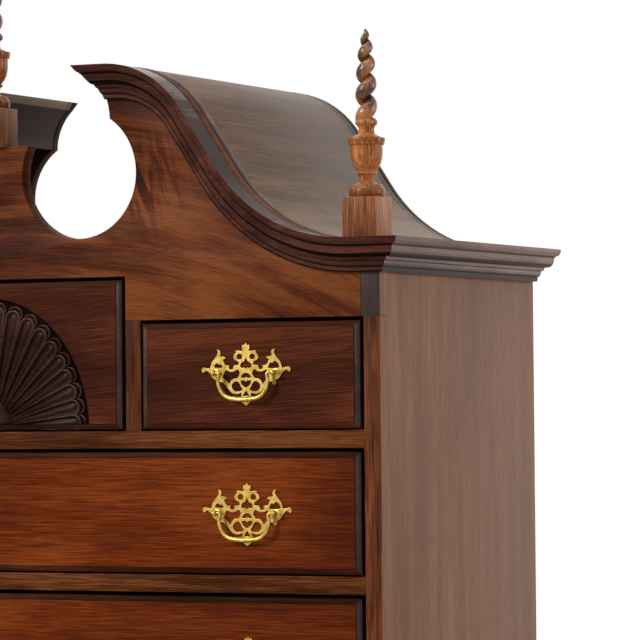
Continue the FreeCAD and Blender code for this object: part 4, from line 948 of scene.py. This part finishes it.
FRONT_THICKNESS = 22
THUMBNAIL = 9.2
THUMBNAIL_RISE = 3.4
THUMBNAIL_STEPS = 6
LIP_STEP = 1.0
LIP_WIDTH = 0.5
LIP_GAP = 1.8
LIP_GAP_BELOW = 1.6
BOX_SIDE = 12
BOX_BOTTOM = 7
BOX_DROP = 11.4
BOX_EDGE = 0.7
BOTTOM_RISE = 8
# Places of a drawer front's finishes in its list. The third is near-black painted shade for its
# gaps and step, and the fourth a darker copy of the thumbnail wood, painted shade on the
# thumbnail's top and bottom strips.
FIELD, EDGE, SHADE_SLOT, SHADED_EDGE = range(4)


def inset(shape, face, width, rise, finish):
    """Set a face in by a width and out by a rise, and give its new rim a finish."""
    made = bmesh.ops.inset_individual(shape, faces=[face], thickness=width, depth=rise)
    for rim in made["faces"]:
        rim.material_index = finish


def drawer_front(name, fan):
    """A drawer front with a thumbnail moulding round its raised field."""
    low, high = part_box(name)
    low = low + Vector((LIP_GAP, 0, LIP_GAP_BELOW)) * MM
    high = high - Vector((LIP_GAP, 0, LIP_GAP)) * MM
    rise = THUMBNAIL_RISE * MM
    shape = bmesh.new()
    block(shape, Vector((low.x, low.y + rise + LIP_STEP * MM, low.z)),
          Vector((high.x, low.y + FRONT_THICKNESS * MM, high.z)))
    face = min(shape.faces, key=lambda f: f.calc_center_median().y)
    shape.normal_update()
    # The front block's sides, which stand in the gap round the opening, are painted shade.
    for side in shape.faces:
        side.material_index = FIELD if abs(side.normal.y) > 0.5 else SHADE_SLOT
    for step in range(THUMBNAIL_STEPS):
        start = math.pi / 2 * step / THUMBNAIL_STEPS
        end = math.pi / 2 * (step + 1) / THUMBNAIL_STEPS
        inset(shape, face, THUMBNAIL * MM * (math.cos(start) - math.cos(end)),
              rise * (math.sin(end) - math.sin(start)), EDGE)
    # The narrow step between the thumbnail and the field is painted shade too.
    inset(shape, face, LIP_WIDTH * MM, LIP_STEP * MM, SHADE_SLOT)
    shape.normal_update()
    # Thumbnail faces that face up or down take the darker copy, painted shade.
    for side in shape.faces:
        if side.material_index == EDGE and abs(side.normal.z) > abs(side.normal.x):
            side.material_index = SHADED_EDGE
    if fan:
        carve_recess(shape, face, low)
    field = LONG_WOOD if "long" in name else SMALL_WOOD
    piece(shape, name + "_front", name, [field, EDGE_WOOD, PAINTED_SHADE_WOOD, SHADED_LIP_WOOD],
          [name], 30)


FAN_HALF = 137
FAN_HEIGHT = 158
FAN_DEPTH = 9
FAN_DROP = 1.0
RECESS_STEPS = 48


def carve_recess(shape, face, low):
    """Sink the fan's half-round recess into the field of a drawer front."""
    floor = min(v.co.z for v in face.verts)
    top = max(v.co.z for v in face.verts)
    bmesh.ops.delete(shape, geom=[face], context="FACES_ONLY")
    base = low.z / MM - FAN_DROP
    start = math.asin((floor / MM - base) / FAN_HEIGHT)
    rim = []
    for step in range(RECESS_STEPS + 1):
        angle = start + (math.pi - 2 * start) * step / RECESS_STEPS
        rim.append(shape.verts.new((FAN_HALF * MM * math.cos(angle), low.y,
                                    (base + FAN_HEIGHT * math.sin(angle)) * MM)))
    corner = {}
    for vertex in shape.verts:
        if abs(vertex.co.y - low.y) < NEAR * MM and vertex not in rim:
            corner[(vertex.co.x > 0, vertex.co.z > (floor + top) / 2)] = vertex
    around = [corner[(True, False)], corner[(True, True)], corner[(False, True)],
              corner[(False, False)]]
    shape.faces.new(rim[::-1] + around)
    deep = bmesh.ops.extrude_edge_only(
        shape, edges=[shape.edges.get(pair) for pair in zip(rim, rim[1:])])["geom"]
    inner = corners_in(deep)
    bmesh.ops.translate(shape, vec=(0, FAN_DEPTH * MM, 0), verts=inner)
    ordered = sorted(inner, key=lambda v: math.atan2(v.co.z - low.z, v.co.x))
    # The recess's floor and walls are painted shade.
    ground = [shape.faces.new(ordered)] + [f for f in deep if isinstance(f, bmesh.types.BMFace)]
    for sunk in ground:
        sunk.material_index = SHADE_SLOT


def drawer_box(name):
    """The sides, back and bottom of a drawer, in pine."""
    low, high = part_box(name)
    front = low.y + FRONT_THICKNESS * MM
    back = high.y
    top = high.z - BOX_DROP * MM
    side = BOX_SIDE * MM
    floor = low.z + BOTTOM_RISE * MM
    shape = bmesh.new()
    for near, far in (((low.x, front, low.z), (low.x + side, back, top)),
                      ((high.x - side, front, low.z), (high.x, back, top)),
                      ((low.x + side, back - side, low.z), (high.x - side, back, top)),
                      ((low.x + side, front, floor),
                       (high.x - side, back - side, floor + BOX_BOTTOM * MM))):
        block(shape, Vector(near), Vector(far))
    ease(shape, BOX_EDGE)
    stand(mesh_of(shape, name + "_box", [PINE], 25), name + "_box", name)


# --- Carved fans ---

PETALS = 20
FAN_REACH = (124, 149)
LOWER_ROW = 5.2
# Height of a petal's surface over the recess floor, from its middle (0) to its edge (1).
# The petals behind show only their rims, LOWER_ROW further out.
PETAL_RIDGES = [(0, 3.6), (0.20, 3.3), (0.42, 2.2), (0.60, 2.0), (0.74, 3.2), (0.83, 5.8),
               (0.90, 6.8), (0.96, 6.4), (1.0, 3.4)]
BACK_RIDGES = [(0.0, 0.6), (0.75, 0.8), (0.84, 2.4), (0.90, 3.2), (0.95, 2.8), (1.0, 0.3)]
RIM_SHARE = 0.83
# A petal starts on an oval round the hub. Its width comes from how the petals share two
# circles, at its tip and at its root, and its sides run straight for a share of its edge.
ROOT_OVAL = (22, 20)
ROOT_RISE = 4
TIP_CIRCLE = 126.72
ROOT_CIRCLE = 23.52
STRAIGHT = 0.3
PETAL_ROWS = 26
# A petal's height at its root, and how soon it is whole.
ROOT_HEIGHT = 0.55
ROOT_GROWTH = 1.6
HUB = [(0, 7.6), (14, 7.4), (20, 6.4), (24.5, 4.0), (26, 0.5)]
HUB_RISE = 12
FAN_FOOT = 0.6
FAN_TRIM = 1.2


def ridge_height(share, ridges):
    for (a, low), (b, high) in zip(ridges, ridges[1:]):
        if share <= b + 1e-6:
            return low + (high - low) * (share - a) / (b - a)
    return ridges[-1][1]


def petal(shape, angle, floor_y, base_z, reach, ridges):
    """One petal of a fan: nested ridges that run out from the hub and round its tip."""
    ray = Vector((math.cos(angle), math.sin(angle)))
    tip = ray / math.hypot(ray.x / reach[0], ray.y / reach[1])
    root = Vector((ROOT_OVAL[0] * ray.x, ROOT_RISE + ROOT_OVAL[1] * ray.y))
    along = (tip - root).normalized()
    across = Vector((-along.y, along.x))
    half_pitch = math.pi / PETALS / 2
    wide = half_pitch * TIP_CIRCLE
    narrow = half_pitch * ROOT_CIRCLE
    centre = tip - along * wide
    columns = len(ridges) - 1
    made = bmesh.ops.create_grid(shape, x_segments=columns, y_segments=PETAL_ROWS,
                                 size=0.5)["verts"]
    outer = {}
    for vertex in made:
        share = ridges[round((vertex.co.x + 0.5) * columns)][0]
        way = vertex.co.y + 0.5
        height = ridge_height(share, ridges)
        if STRAIGHT <= way <= 1 - STRAIGHT:
            turn = math.pi * (way - STRAIGHT) / (1 - 2 * STRAIGHT)
            spot = centre + (across * -math.cos(turn) + along * math.sin(turn)) * share * wide
        else:
            side = -1 if way < STRAIGHT else 1
            run = min(way, 1 - way) / STRAIGHT
            width = narrow + (wide - narrow) * run
            spot = root + (centre - root) * run + across * side * share * width
            height *= ROOT_HEIGHT + (1 - ROOT_HEIGHT) * min(1, run * ROOT_GROWTH)
        vertex.co = Vector((spot.x * MM, floor_y - height * MM, base_z + spot.y * MM))
        outer[vertex] = share > RIM_SHARE - 0.01
    # Faces wholly on a petal's outer rim take the lighter copy, a painted highlight.
    for face in {f for v in made for f in v.link_faces}:
        face.material_index = 1 if all(outer[v] for v in face.verts) else 0


def carved_fan(name):
    """The fan in a drawer front: petals, the lower row of rims behind them, and the hub."""
    low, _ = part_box(name)
    floor_y = low.y + FAN_DEPTH * MM
    base_z = low.z + FAN_FOOT * MM
    back_reach = (FAN_REACH[0] + LOWER_ROW, FAN_REACH[1] + LOWER_ROW)
    shape = bmesh.new()
    for i in range(PETALS):
        angle = math.pi * (i + 0.5) / PETALS
        petal(shape, angle, floor_y, base_z, back_reach, BACK_RIDGES)
        petal(shape, angle, floor_y, base_z, FAN_REACH, PETAL_RIDGES)
    turned(shape, HUB, Vector((0, floor_y, base_z + HUB_RISE * MM)), FORWARD, 48)
    sliced(shape, (0, 0, base_z + FAN_TRIM * MM), (0, 0, -1), clear=True)
    piece(shape, name + "_carving", name, [CARVED_WOOD, RIM_HIGHLIGHT_WOOD], [], 60)


# --- Brasses ---

# Right half of a willow plate, in mm from its middle: the outline from the crest down to
# the drop, then its piercings. A third value of 0 marks a point or a notch.
PLATE_EDGE = [
    (0, 35.5, 0), (2.6, 32.2, 0), (4.9, 33.0, 0), (5.4, 29.0), (4.3, 25.6, 0), (7.2, 25.7),
    (10.7, 26.2), (14.3, 25.5, 0), (12.9, 23.6, 0), (15.3, 21.6), (16.6, 18.4), (15.4, 15.1),
    (12.9, 13.5), (10.4, 12.5, 0), (10.0, 10.8), (10.6, 9.2, 0), (13.2, 9.3), (16.0, 8.6),
    (16.9, 6.6), (17.6, 4.8), (19.6, 4.3), (21.1, 5.4), (20.7, 9.3, 0), (23.6, 8.8),
    (26.1, 9.8), (27.8, 12.2), (29.0, 14.9, 0), (25.0, 16.7, 0), (27.2, 18.9), (30.4, 19.3),
    (32.8, 19.8, 0), (32.1, 23.2), (32.9, 25.9), (38.4, 27.7, 0), (36.9, 24.9), (37.4, 21.6),
    (41.2, 16.6), (44.6, 12.4), (46.1, 8.4), (47.0, 5.6, 0), (50.6, 6.2), (54.2, 6.9),
    (57.2, 5.4), (57.5, 2.2), (55.6, 0.0), (53.6, 0.9), (51.8, 2.2), (49.4, 1.2), (46.6, -1.6),
    (44.2, -5.1), (41.4, -7.6), (38.5, -9.0, 0), (39.0, -11.6), (37.8, -14.2),
    (35.7, -15.4, 0), (34.0, -13.6), (33.4, -10.9, 0), (30.6, -11.4), (26.8, -14.8),
    (23.9, -18.3), (21.3, -21.3), (18.1, -23.8), (14.0, -25.0), (10.3, -24.9), (6.9, -24.0, 0),
    (6.5, -25.8), (8.0, -27.4, 0), (5.0, -28.6), (6.4, -33.8, 0), (0, -38.6, 0)]
EYELET = [(11.2, 18.5), (8.2, 21.4), (5.2, 18.5), (8.2, 15.6)]
SIDE_PIERCING = [(11.0, 3.4, 0), (15.0, 1.1), (18.6, 0.5), (22.2, 1.2), (26.0, 2.6, 0),
                 (27.0, 0.4), (28.4, -2.4), (29.6, -5.0, 0), (26.6, -7.5), (23.8, -9.8),
                 (21.7, -12.2, 0), (19.3, -8.4), (15.8, -6.4), (11.6, -5.9, 0), (10.3, -3.9),
                 (8.7, -0.6), (9.3, 1.6)]
LOOP_PIERCING = [(17.8, -15.3), (15.6, -11.7), (11.6, -10.5), (8.9, -12.8), (7.1, -16.4),
                 (5.3, -19.1), (7.8, -20.7), (11.9, -21.3), (16.0, -19.4)]
EAR_PIERCING = [(29.2, 5.6, 0), (30.2, 8.8), (31.8, 11.0, 0), (34.3, 10.4), (37.3, 12.8, 0),
                (40.6, 10.6), (42.6, 6.0, 0), (38.0, 5.2), (33.0, 5.1)]
# Piercings on the middle line: their right halves, from top to bottom.
TREFOIL = [(0, 16.4, 0), (1.2, 13.8), (2.8, 12.0, 0), (5.2, 11.1), (6.6, 8.7), (6.2, 6.3, 0),
           (3.4, 6.2), (2.4, 6.9, 0), (0, 5.3, 0)]
CRESCENT = [(0, -0.7), (3.4, -1.8), (5.7, -4.6, 0), (4.8, -5.6, 0), (2.2, -5.3), (0, -4.2, 0)]
HEART = [(0, -11.4, 0), (2.0, -9.5, 0), (6.2, -9.4, 0), (5.4, -12.4), (3.0, -15.1),
         (0, -16.9, 0)]
FOOT_PIERCING = [(0, -21.4, 0), (1.9, -24.2), (3.4, -26.8, 0), (0, -26.2)]
BORING = 76.2
PLATE_THICKNESS = 1.6
FILED_EDGE = 0.35
FILED_BACK = 0.45


def mirror_points(points):
    return [(-p[0], *p[1:]) for p in points[::-1]]


def whole_outline(half):
    """A closed outline from its right half, mirrored across the middle line."""
    return half + mirror_points([p for p in half if p[0]])


def willow_plate():
    """The pierced back plate, as a flat curve with a filed edge, about its own middle."""
    edge = FILED_EDGE * MM
    curve = bpy.data.curves.new("willow_plate", "CURVE")
    curve.dimensions = "2D"
    curve.fill_mode = "BOTH"
    curve.resolution_u = 5
    curve.extrude = PLATE_THICKNESS * MM / 2 - edge
    curve.bevel_depth = edge
    curve.bevel_resolution = 1
    curve.offset = -edge - FILED_BACK * MM
    outlines = [whole_outline(half)
                for half in (PLATE_EDGE, TREFOIL, CRESCENT, HEART, FOOT_PIERCING)]
    for points in (EYELET, SIDE_PIERCING, LOOP_PIERCING, EAR_PIERCING):
        outlines += [points, mirror_points(points)]
    for points in outlines:
        spline = strung(curve, [(p[0] * MM, p[1] * MM, 0) for p in points],
                        ["VECTOR" if len(p) == 3 else "AUTO" for p in points])
        spline.use_cyclic_u = True
    return drawn(curve)


POST = [(0, 0), (5.2, 0), (5.2, 0.6), (4.4, 1.2), (3.0, 1.5), (2.2, 2.6), (2.0, 4.0),
        (2.3, 5.0), (3.2, 6.2), (3.55, 7.6), (3.6, 8.6), (3.4, 9.8), (2.8, 10.9), (1.8, 11.7),
        (0.7, 12.1), (0, 12.15)]


def pull_places(drawer):
    """Bodies of a drawer's bails, with the middle of each pull."""
    places = []
    for body in frame["bodies"]:
        if body.startswith(drawer) and body.endswith("_bail"):
            joint = next(j for j in frame["joints"] if j["child"] == body)
            places.append((body, Vector(joint["pos_m"])))
    return places


def pulls(drawer):
    """Pierced plates, ball posts and bails of one drawer."""
    low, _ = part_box(drawer)
    for index, (body, axis) in enumerate(pull_places(drawer)):
        shape = bmesh.new()
        shape.from_mesh(WILLOW_PLATE)
        upright = Matrix.Rotation(math.radians(90), 4, "X")
        bmesh.ops.transform(shape, matrix=upright, verts=shape.verts)
        middle = Vector((axis.x, low.y, axis.z))
        bmesh.ops.translate(shape, vec=middle + FORWARD * PLATE_THICKNESS / 2 * MM,
                            verts=shape.verts)
        for side in (-1, 1):
            foot = middle + Vector((side * BORING / 2, -PLATE_THICKNESS, 0)) * MM
            turned(shape, POST, foot, FORWARD, 24)
        piece(shape, body.replace("_bail", "_plate"), drawer, [BRASS],
              [drawer + "_plates"] if index == 0 else [], 20)
        bail(body, axis)


# Right half of a bail's middle line, in mm from the middle of its axis, with its radius.
BAIL_LINE = [(35.4, 0, 1.6), (33.2, 0.2, 1.7), (31.3, -0.9, 1.9), (31.2, -4.0, 2.1),
             (32.0, -8.5, 2.2), (31.4, -14.0, 2.3), (29.0, -20.0, 2.4), (24.8, -25.2, 2.45),
             (18.4, -28.9, 2.5), (10.5, -30.3, 2.55), (4.5, -30.7, 2.75), (0, -30.8, 2.9)]


def bail(body, axis):
    """A bow handle, swelled at its grip, whose ends turn out into the posts."""
    curve = bpy.data.curves.new(body, "CURVE")
    curve.dimensions = "3D"
    curve.resolution_u = 6
    curve.bevel_depth = MM
    curve.bevel_resolution = 4
    curve.use_fill_caps = True
    line = BAIL_LINE + [(-x, z, r) for x, z, r in BAIL_LINE[-2::-1]]
    spline = strung(curve, [axis + Vector((x, 0, z)) * MM for x, z, _ in line],
                    ["AUTO"] * len(line))
    for knot, (_, _, radius) in zip(spline.bezier_points, line):
        knot.radius = radius
    shape = bmesh.new()
    shape.from_mesh(drawn(curve))
    piece(shape, body + "_handle", body, [BRASS], [body], 60)


KNOB = [(0, 0), (8.8, 0), (9.2, 0.8), (8.6, 2.0), (5.4, 2.6), (3.8, 3.8), (3.4, 6), (3.6, 9),
        (4.6, 10.6), (7.4, 11.8), (9.2, 13.6), (9.6, 15.4), (9.0, 17.2), (7.2, 18.8),
        (4.4, 19.8), (0, 20.1)]


def knob(node, drawer):
    """A small turned knob on the hub of a fan."""
    low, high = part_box(node)
    seat = Vector(((low.x + high.x) / 2, high.y, (low.z + high.z) / 2))
    shape = bmesh.new()
    turned(shape, KNOB, seat, FORWARD, 32)
    piece(shape, node + "_turning", drawer, [BRASS], [node], 40)


# --- Legs ---

# The leg's sides as (outwards from the post's face, height): three points to each arc.
LEG_OUTER = [(-3, 12), (-14, 85), (1, 205), (23, 350), (3, 478)]
LEG_INNER = [(-39, 12), (-43, 85), (-35, 220), (-34, 300), (-44, 400)]
POST_WIDTH = 44
POST_DROP = 6
POST_EDGE = 1.2
LEG_LEVELS = [14, 20, 30, 45, 65, 85, 110, 140, 170, 200, 230, 260, 290, 320, 350, 380, 405,
              430, 452, 468, 478]
# The leg's sections go from nearly round low down to square under the post: powers of the
# section's curve, and the heights between which it changes.
ROUND_POWER = 2.6
SQUARE_POWER = 8.0
SQUARE_HEIGHTS = (150, 410)
PAD = [(0, 0), (30, 0), (32, 1.2), (40.5, 7.6), (42, 11), (41.4, 14.5), (37, 18.2), (30, 20.6),
       (24.6, 22), (0, 22)]
TOE_OUT = 6.8


def on_arc(points, level):
    """Distance out at a height, on the arc through three points."""
    (ax, az), (bx, bz), (cx, cz) = points
    twice = 2 * (ax * (bz - cz) + bx * (cz - az) + cx * (az - bz))
    a, b, c = ax ** 2 + az ** 2, bx ** 2 + bz ** 2, cx ** 2 + cz ** 2
    x = (a * (bz - cz) + b * (cz - az) + c * (az - bz)) / twice
    z = (a * (cx - bx) + b * (ax - cx) + c * (bx - ax)) / twice
    radius = math.hypot(ax - x, az - z)
    reach = math.sqrt(max(0, radius ** 2 - (level - z) ** 2))
    return x - reach if bx < x else x + reach


def leg_side(line, level):
    """How far out a side of the leg is at a height, from its arcs and then its post."""
    if level > line[4][1]:
        return -POST_WIDTH
    return on_arc(line[0:3] if level < line[2][1] else line[2:5], level)


def squareness(level):
    """The power of the section's curve at a height."""
    start, end = SQUARE_HEIGHTS
    share = max(0, min(1, (level - start) / (end - start)))
    return ROUND_POWER + (SQUARE_POWER - ROUND_POWER) * share


def legs():
    """Cabriole legs: rounded-square sections along an S line, on pad feet, under posts."""
    case_low, case_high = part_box("lower_rails")
    corner_x = case_high.x + POST_WIDTH * MM
    face = case_low.y
    side_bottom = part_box("lower_sides")[0].z
    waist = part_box("waist_moulding")[0].z
    shape = bmesh.new()
    previous = None
    for level in LEG_LEVELS:
        outer = leg_side(LEG_OUTER, level)
        inner = leg_side(LEG_INNER, level)
        middle = (outer + inner) / 2
        half = (outer - inner) / 2
        power = 2 / squareness(level)
        made = bmesh.ops.create_circle(shape, segments=32, radius=1)["verts"]
        edges = list({e for v in made for e in v.link_edges})
        for vertex in made:
            across = math.copysign(abs(vertex.co.x) ** power, vertex.co.x)
            forward = math.copysign(abs(vertex.co.y) ** power, vertex.co.y)
            vertex.co = Vector((corner_x + (middle + half * across) * MM,
                                face - (middle + half * forward) * MM, level * MM))
        if previous:
            bmesh.ops.bridge_loops(shape, edges=previous + edges)
        previous = edges
    bmesh.ops.holes_fill(shape, edges=shape.edges)
    toe = ((LEG_OUTER[0][0] + LEG_INNER[0][0]) / 2 + TOE_OUT) * MM
    turned(shape, PAD, Vector((corner_x + toe, face - toe, 0)), UP, 40)
    post = block(shape, Vector((corner_x - POST_WIDTH * MM, face, side_bottom - POST_DROP * MM)),
                 Vector((corner_x, face + POST_WIDTH * MM, waist)))
    post_edges = list({e for v in post for e in v.link_edges})
    bmesh.ops.bevel(shape, geom=post_edges, offset=POST_EDGE * MM, segments=2, profile=0.5,
                    affect="EDGES", material=-1)
    bmesh.ops.recalc_face_normals(shape, faces=shape.faces)
    front_right = mesh_of(shape, "leg_front_right", [UPRIGHT_WOOD], 45)
    for name, across, back in (("front_right", 1, 1), ("front_left", -1, 1),
                               ("back_right", 1, -1), ("back_left", -1, -1)):
        copy = bmesh.new()
        copy.from_mesh(front_right)
        bmesh.ops.scale(copy, vec=(across, back, 1), verts=copy.verts)
        piece(copy, "leg_" + name, CASE, [UPRIGHT_WOOD],
              ["legs"] if name == "front_right" else [], 45)


# --- Floor, light and camera ---

FLOOR_GLOW = 0.5
SURROUND_LIGHT = 0.36
# Each lamp: its place, what it points at, its width and its power.
LAMPS = {"key": ((-2.4, -4.4, 4.0), (0, -0.2, 1.5), 1.8, 190),
         "side": ((4.6, 1.2, 2.6), (0.5, 0, 1.4), 2.4, 80),
         "top": ((0, -0.6, 5.2), (0, 0, 1.9), 2.2, 60)}
CAMERA_PLACE = (2.3163, -4.1528, 1.6896)
CAMERA_TURN = math.radians(25.529)
CAMERA_RISE = math.radians(1.257)
CAMERA_ROLL = math.radians(-0.501)
CAMERA_LENS = 214.69


def studio():
    """A pale floor, a white surround and broad soft lamps."""
    shape = bmesh.new()
    bmesh.ops.create_grid(shape, x_segments=1, y_segments=1, size=9)
    pale = Finish("pale_floor", Base_Color=(0.80, 0.80, 0.80, 1), Roughness=0.85,
                  Specular_IOR_Level=0.1, Emission_Color=(1, 1, 1, 1))
    seen = pale.add("LightPath").outputs["Is Camera Ray"]
    pale.set(pale.shader, "Emission Strength", pale.maths("MULTIPLY", seen, FLOOR_GLOW))
    floor = placed("floor", mesh_of(shape, "floor", [pale.material]))

    world = bpy.data.worlds.new("surround")
    bpy.context.scene.world = world
    world.use_nodes = True
    nodes, links = world.node_tree.nodes, world.node_tree.links
    nodes.clear()
    output = nodes.new("ShaderNodeOutputWorld")
    path = nodes.new("ShaderNodeLightPath")
    seen = path.outputs["Is Camera Ray"]
    for other in ("Is Glossy Ray", "Is Transmission Ray"):
        either = nodes.new("ShaderNodeMath")
        either.operation = "MAXIMUM"
        links.new(seen, either.inputs[0])
        links.new(path.outputs[other], either.inputs[1])
        seen = either.outputs[0]
    strength = nodes.new("ShaderNodeMapRange")
    strength.inputs["To Min"].default_value = SURROUND_LIGHT
    strength.inputs["To Max"].default_value = 1.0
    links.new(seen, strength.inputs["Value"])
    light = nodes.new("ShaderNodeBackground")
    light.inputs["Color"].default_value = (1, 1, 1, 1)
    links.new(strength.outputs[0], light.inputs["Strength"])
    links.new(light.outputs[0], output.inputs["Surface"])

    for name, (place, target, wide, power) in LAMPS.items():
        lamp = bpy.data.lights.new(name, "AREA")
        lamp.shape = "SQUARE"
        lamp.size = wide
        lamp.energy = power
        thing = placed(name, lamp)
        thing.location = place
        thing.rotation_mode = "QUATERNION"
        thing.rotation_quaternion = (Vector(target) - Vector(place)).to_track_quat("-Z", "Y")


def camera():
    """A long lens at the height of the small drawers, from the right of the front."""
    data = bpy.data.cameras.new("camera")
    data.sensor_width = 36
    data.lens = CAMERA_LENS
    data.clip_end = 50
    thing = placed("camera", data)
    thing.matrix_world = (Matrix.Translation(CAMERA_PLACE)
                          @ Matrix.Rotation(CAMERA_TURN, 4, "Z")
                          @ Matrix.Rotation(math.pi / 2 + CAMERA_RISE, 4, "X")
                          @ Matrix.Rotation(CAMERA_ROLL, 4, "Z"))
    bpy.context.scene.camera = thing
    bpy.context.scene.view_settings.view_transform = "Standard"


# --- Assembly ---

WILLOW_PLATE = willow_plate()

for node, name, slot, finishes, choose in (
        ("upper_side_left", "case_side_left", "side_wood", [UPRIGHT_WOOD, SIDE_SHEEN_WOOD],
         front_or_side),
        ("upper_side_right", "case_side_right", "side_wood", [UPRIGHT_WOOD, SIDE_SHEEN_WOOD],
         front_or_side),
        ("frieze_blocks", "frieze_corner_blocks", "case_wood", [BLOCK_WOOD, SIDE_SHEEN_WOOD],
         front_or_side),
        ("upper_rails", "upper_drawer_rails", "case_wood", [RAIL_WOOD], None),
        ("upper_dividers", "upper_drawer_dividers", "case_wood", [DIVIDER_WOOD], None),
        ("tympanum", "tympanum_board", "case_wood", [TYMPANUM_WOOD], None),
        ("plinths", "finial_plinths", "turned_wood", [PLINTH_WOOD, PLINTH_LIT_SIDE], front_or_side),
        ("waist_moulding", "waist_mouldings", "case_wood", [MOULDING_WOOD], None),
        ("lower_sides", "lower_case_sides", "side_wood", [SIDE_SHEEN_WOOD], None),
        ("lower_rails", "lower_drawer_rails", "case_wood", [RAIL_WOOD], None),
        ("apron", "apron_board", "case_wood", [RAIL_WOOD], None),
        ("upper_back", "upper_back_boards", "inner_wood", [BACK_PINE, JOINT_PINE, BACK_PINE],
         board_or_joint),
        ("lower_back", "lower_back_boards", "inner_wood", [BACK_PINE, JOINT_PINE, BACK_PINE],
         board_or_joint),
        ("hood_back", "hood_back_board", "inner_wood", [BACK_PINE, JOINT_PINE, COVE_SHADE_WOOD],
         board_or_joint),
        ("upper_runners", "upper_drawer_runners", "inner_wood", [PINE], None),
        ("lower_runners", "lower_drawer_runners", "inner_wood", [PINE], None),
        ("upper_top", "upper_top_board", "inner_wood", [PINE], None)):
    eased(node, name, finishes, choose)
swan_necks()
side_cornices()
hood_roofs()
hood_coves()
finials()
legs()
for drawer in UPPER_DRAWERS + LOWER_DRAWERS:
    drawer_front(drawer, "fan" in drawer)
    drawer_box(drawer)
    if "fan" in drawer:
        carved_fan(drawer)
        knob(drawer.replace("_drawer", "_knob"), drawer)
    else:
        pulls(drawer)
studio()
camera()
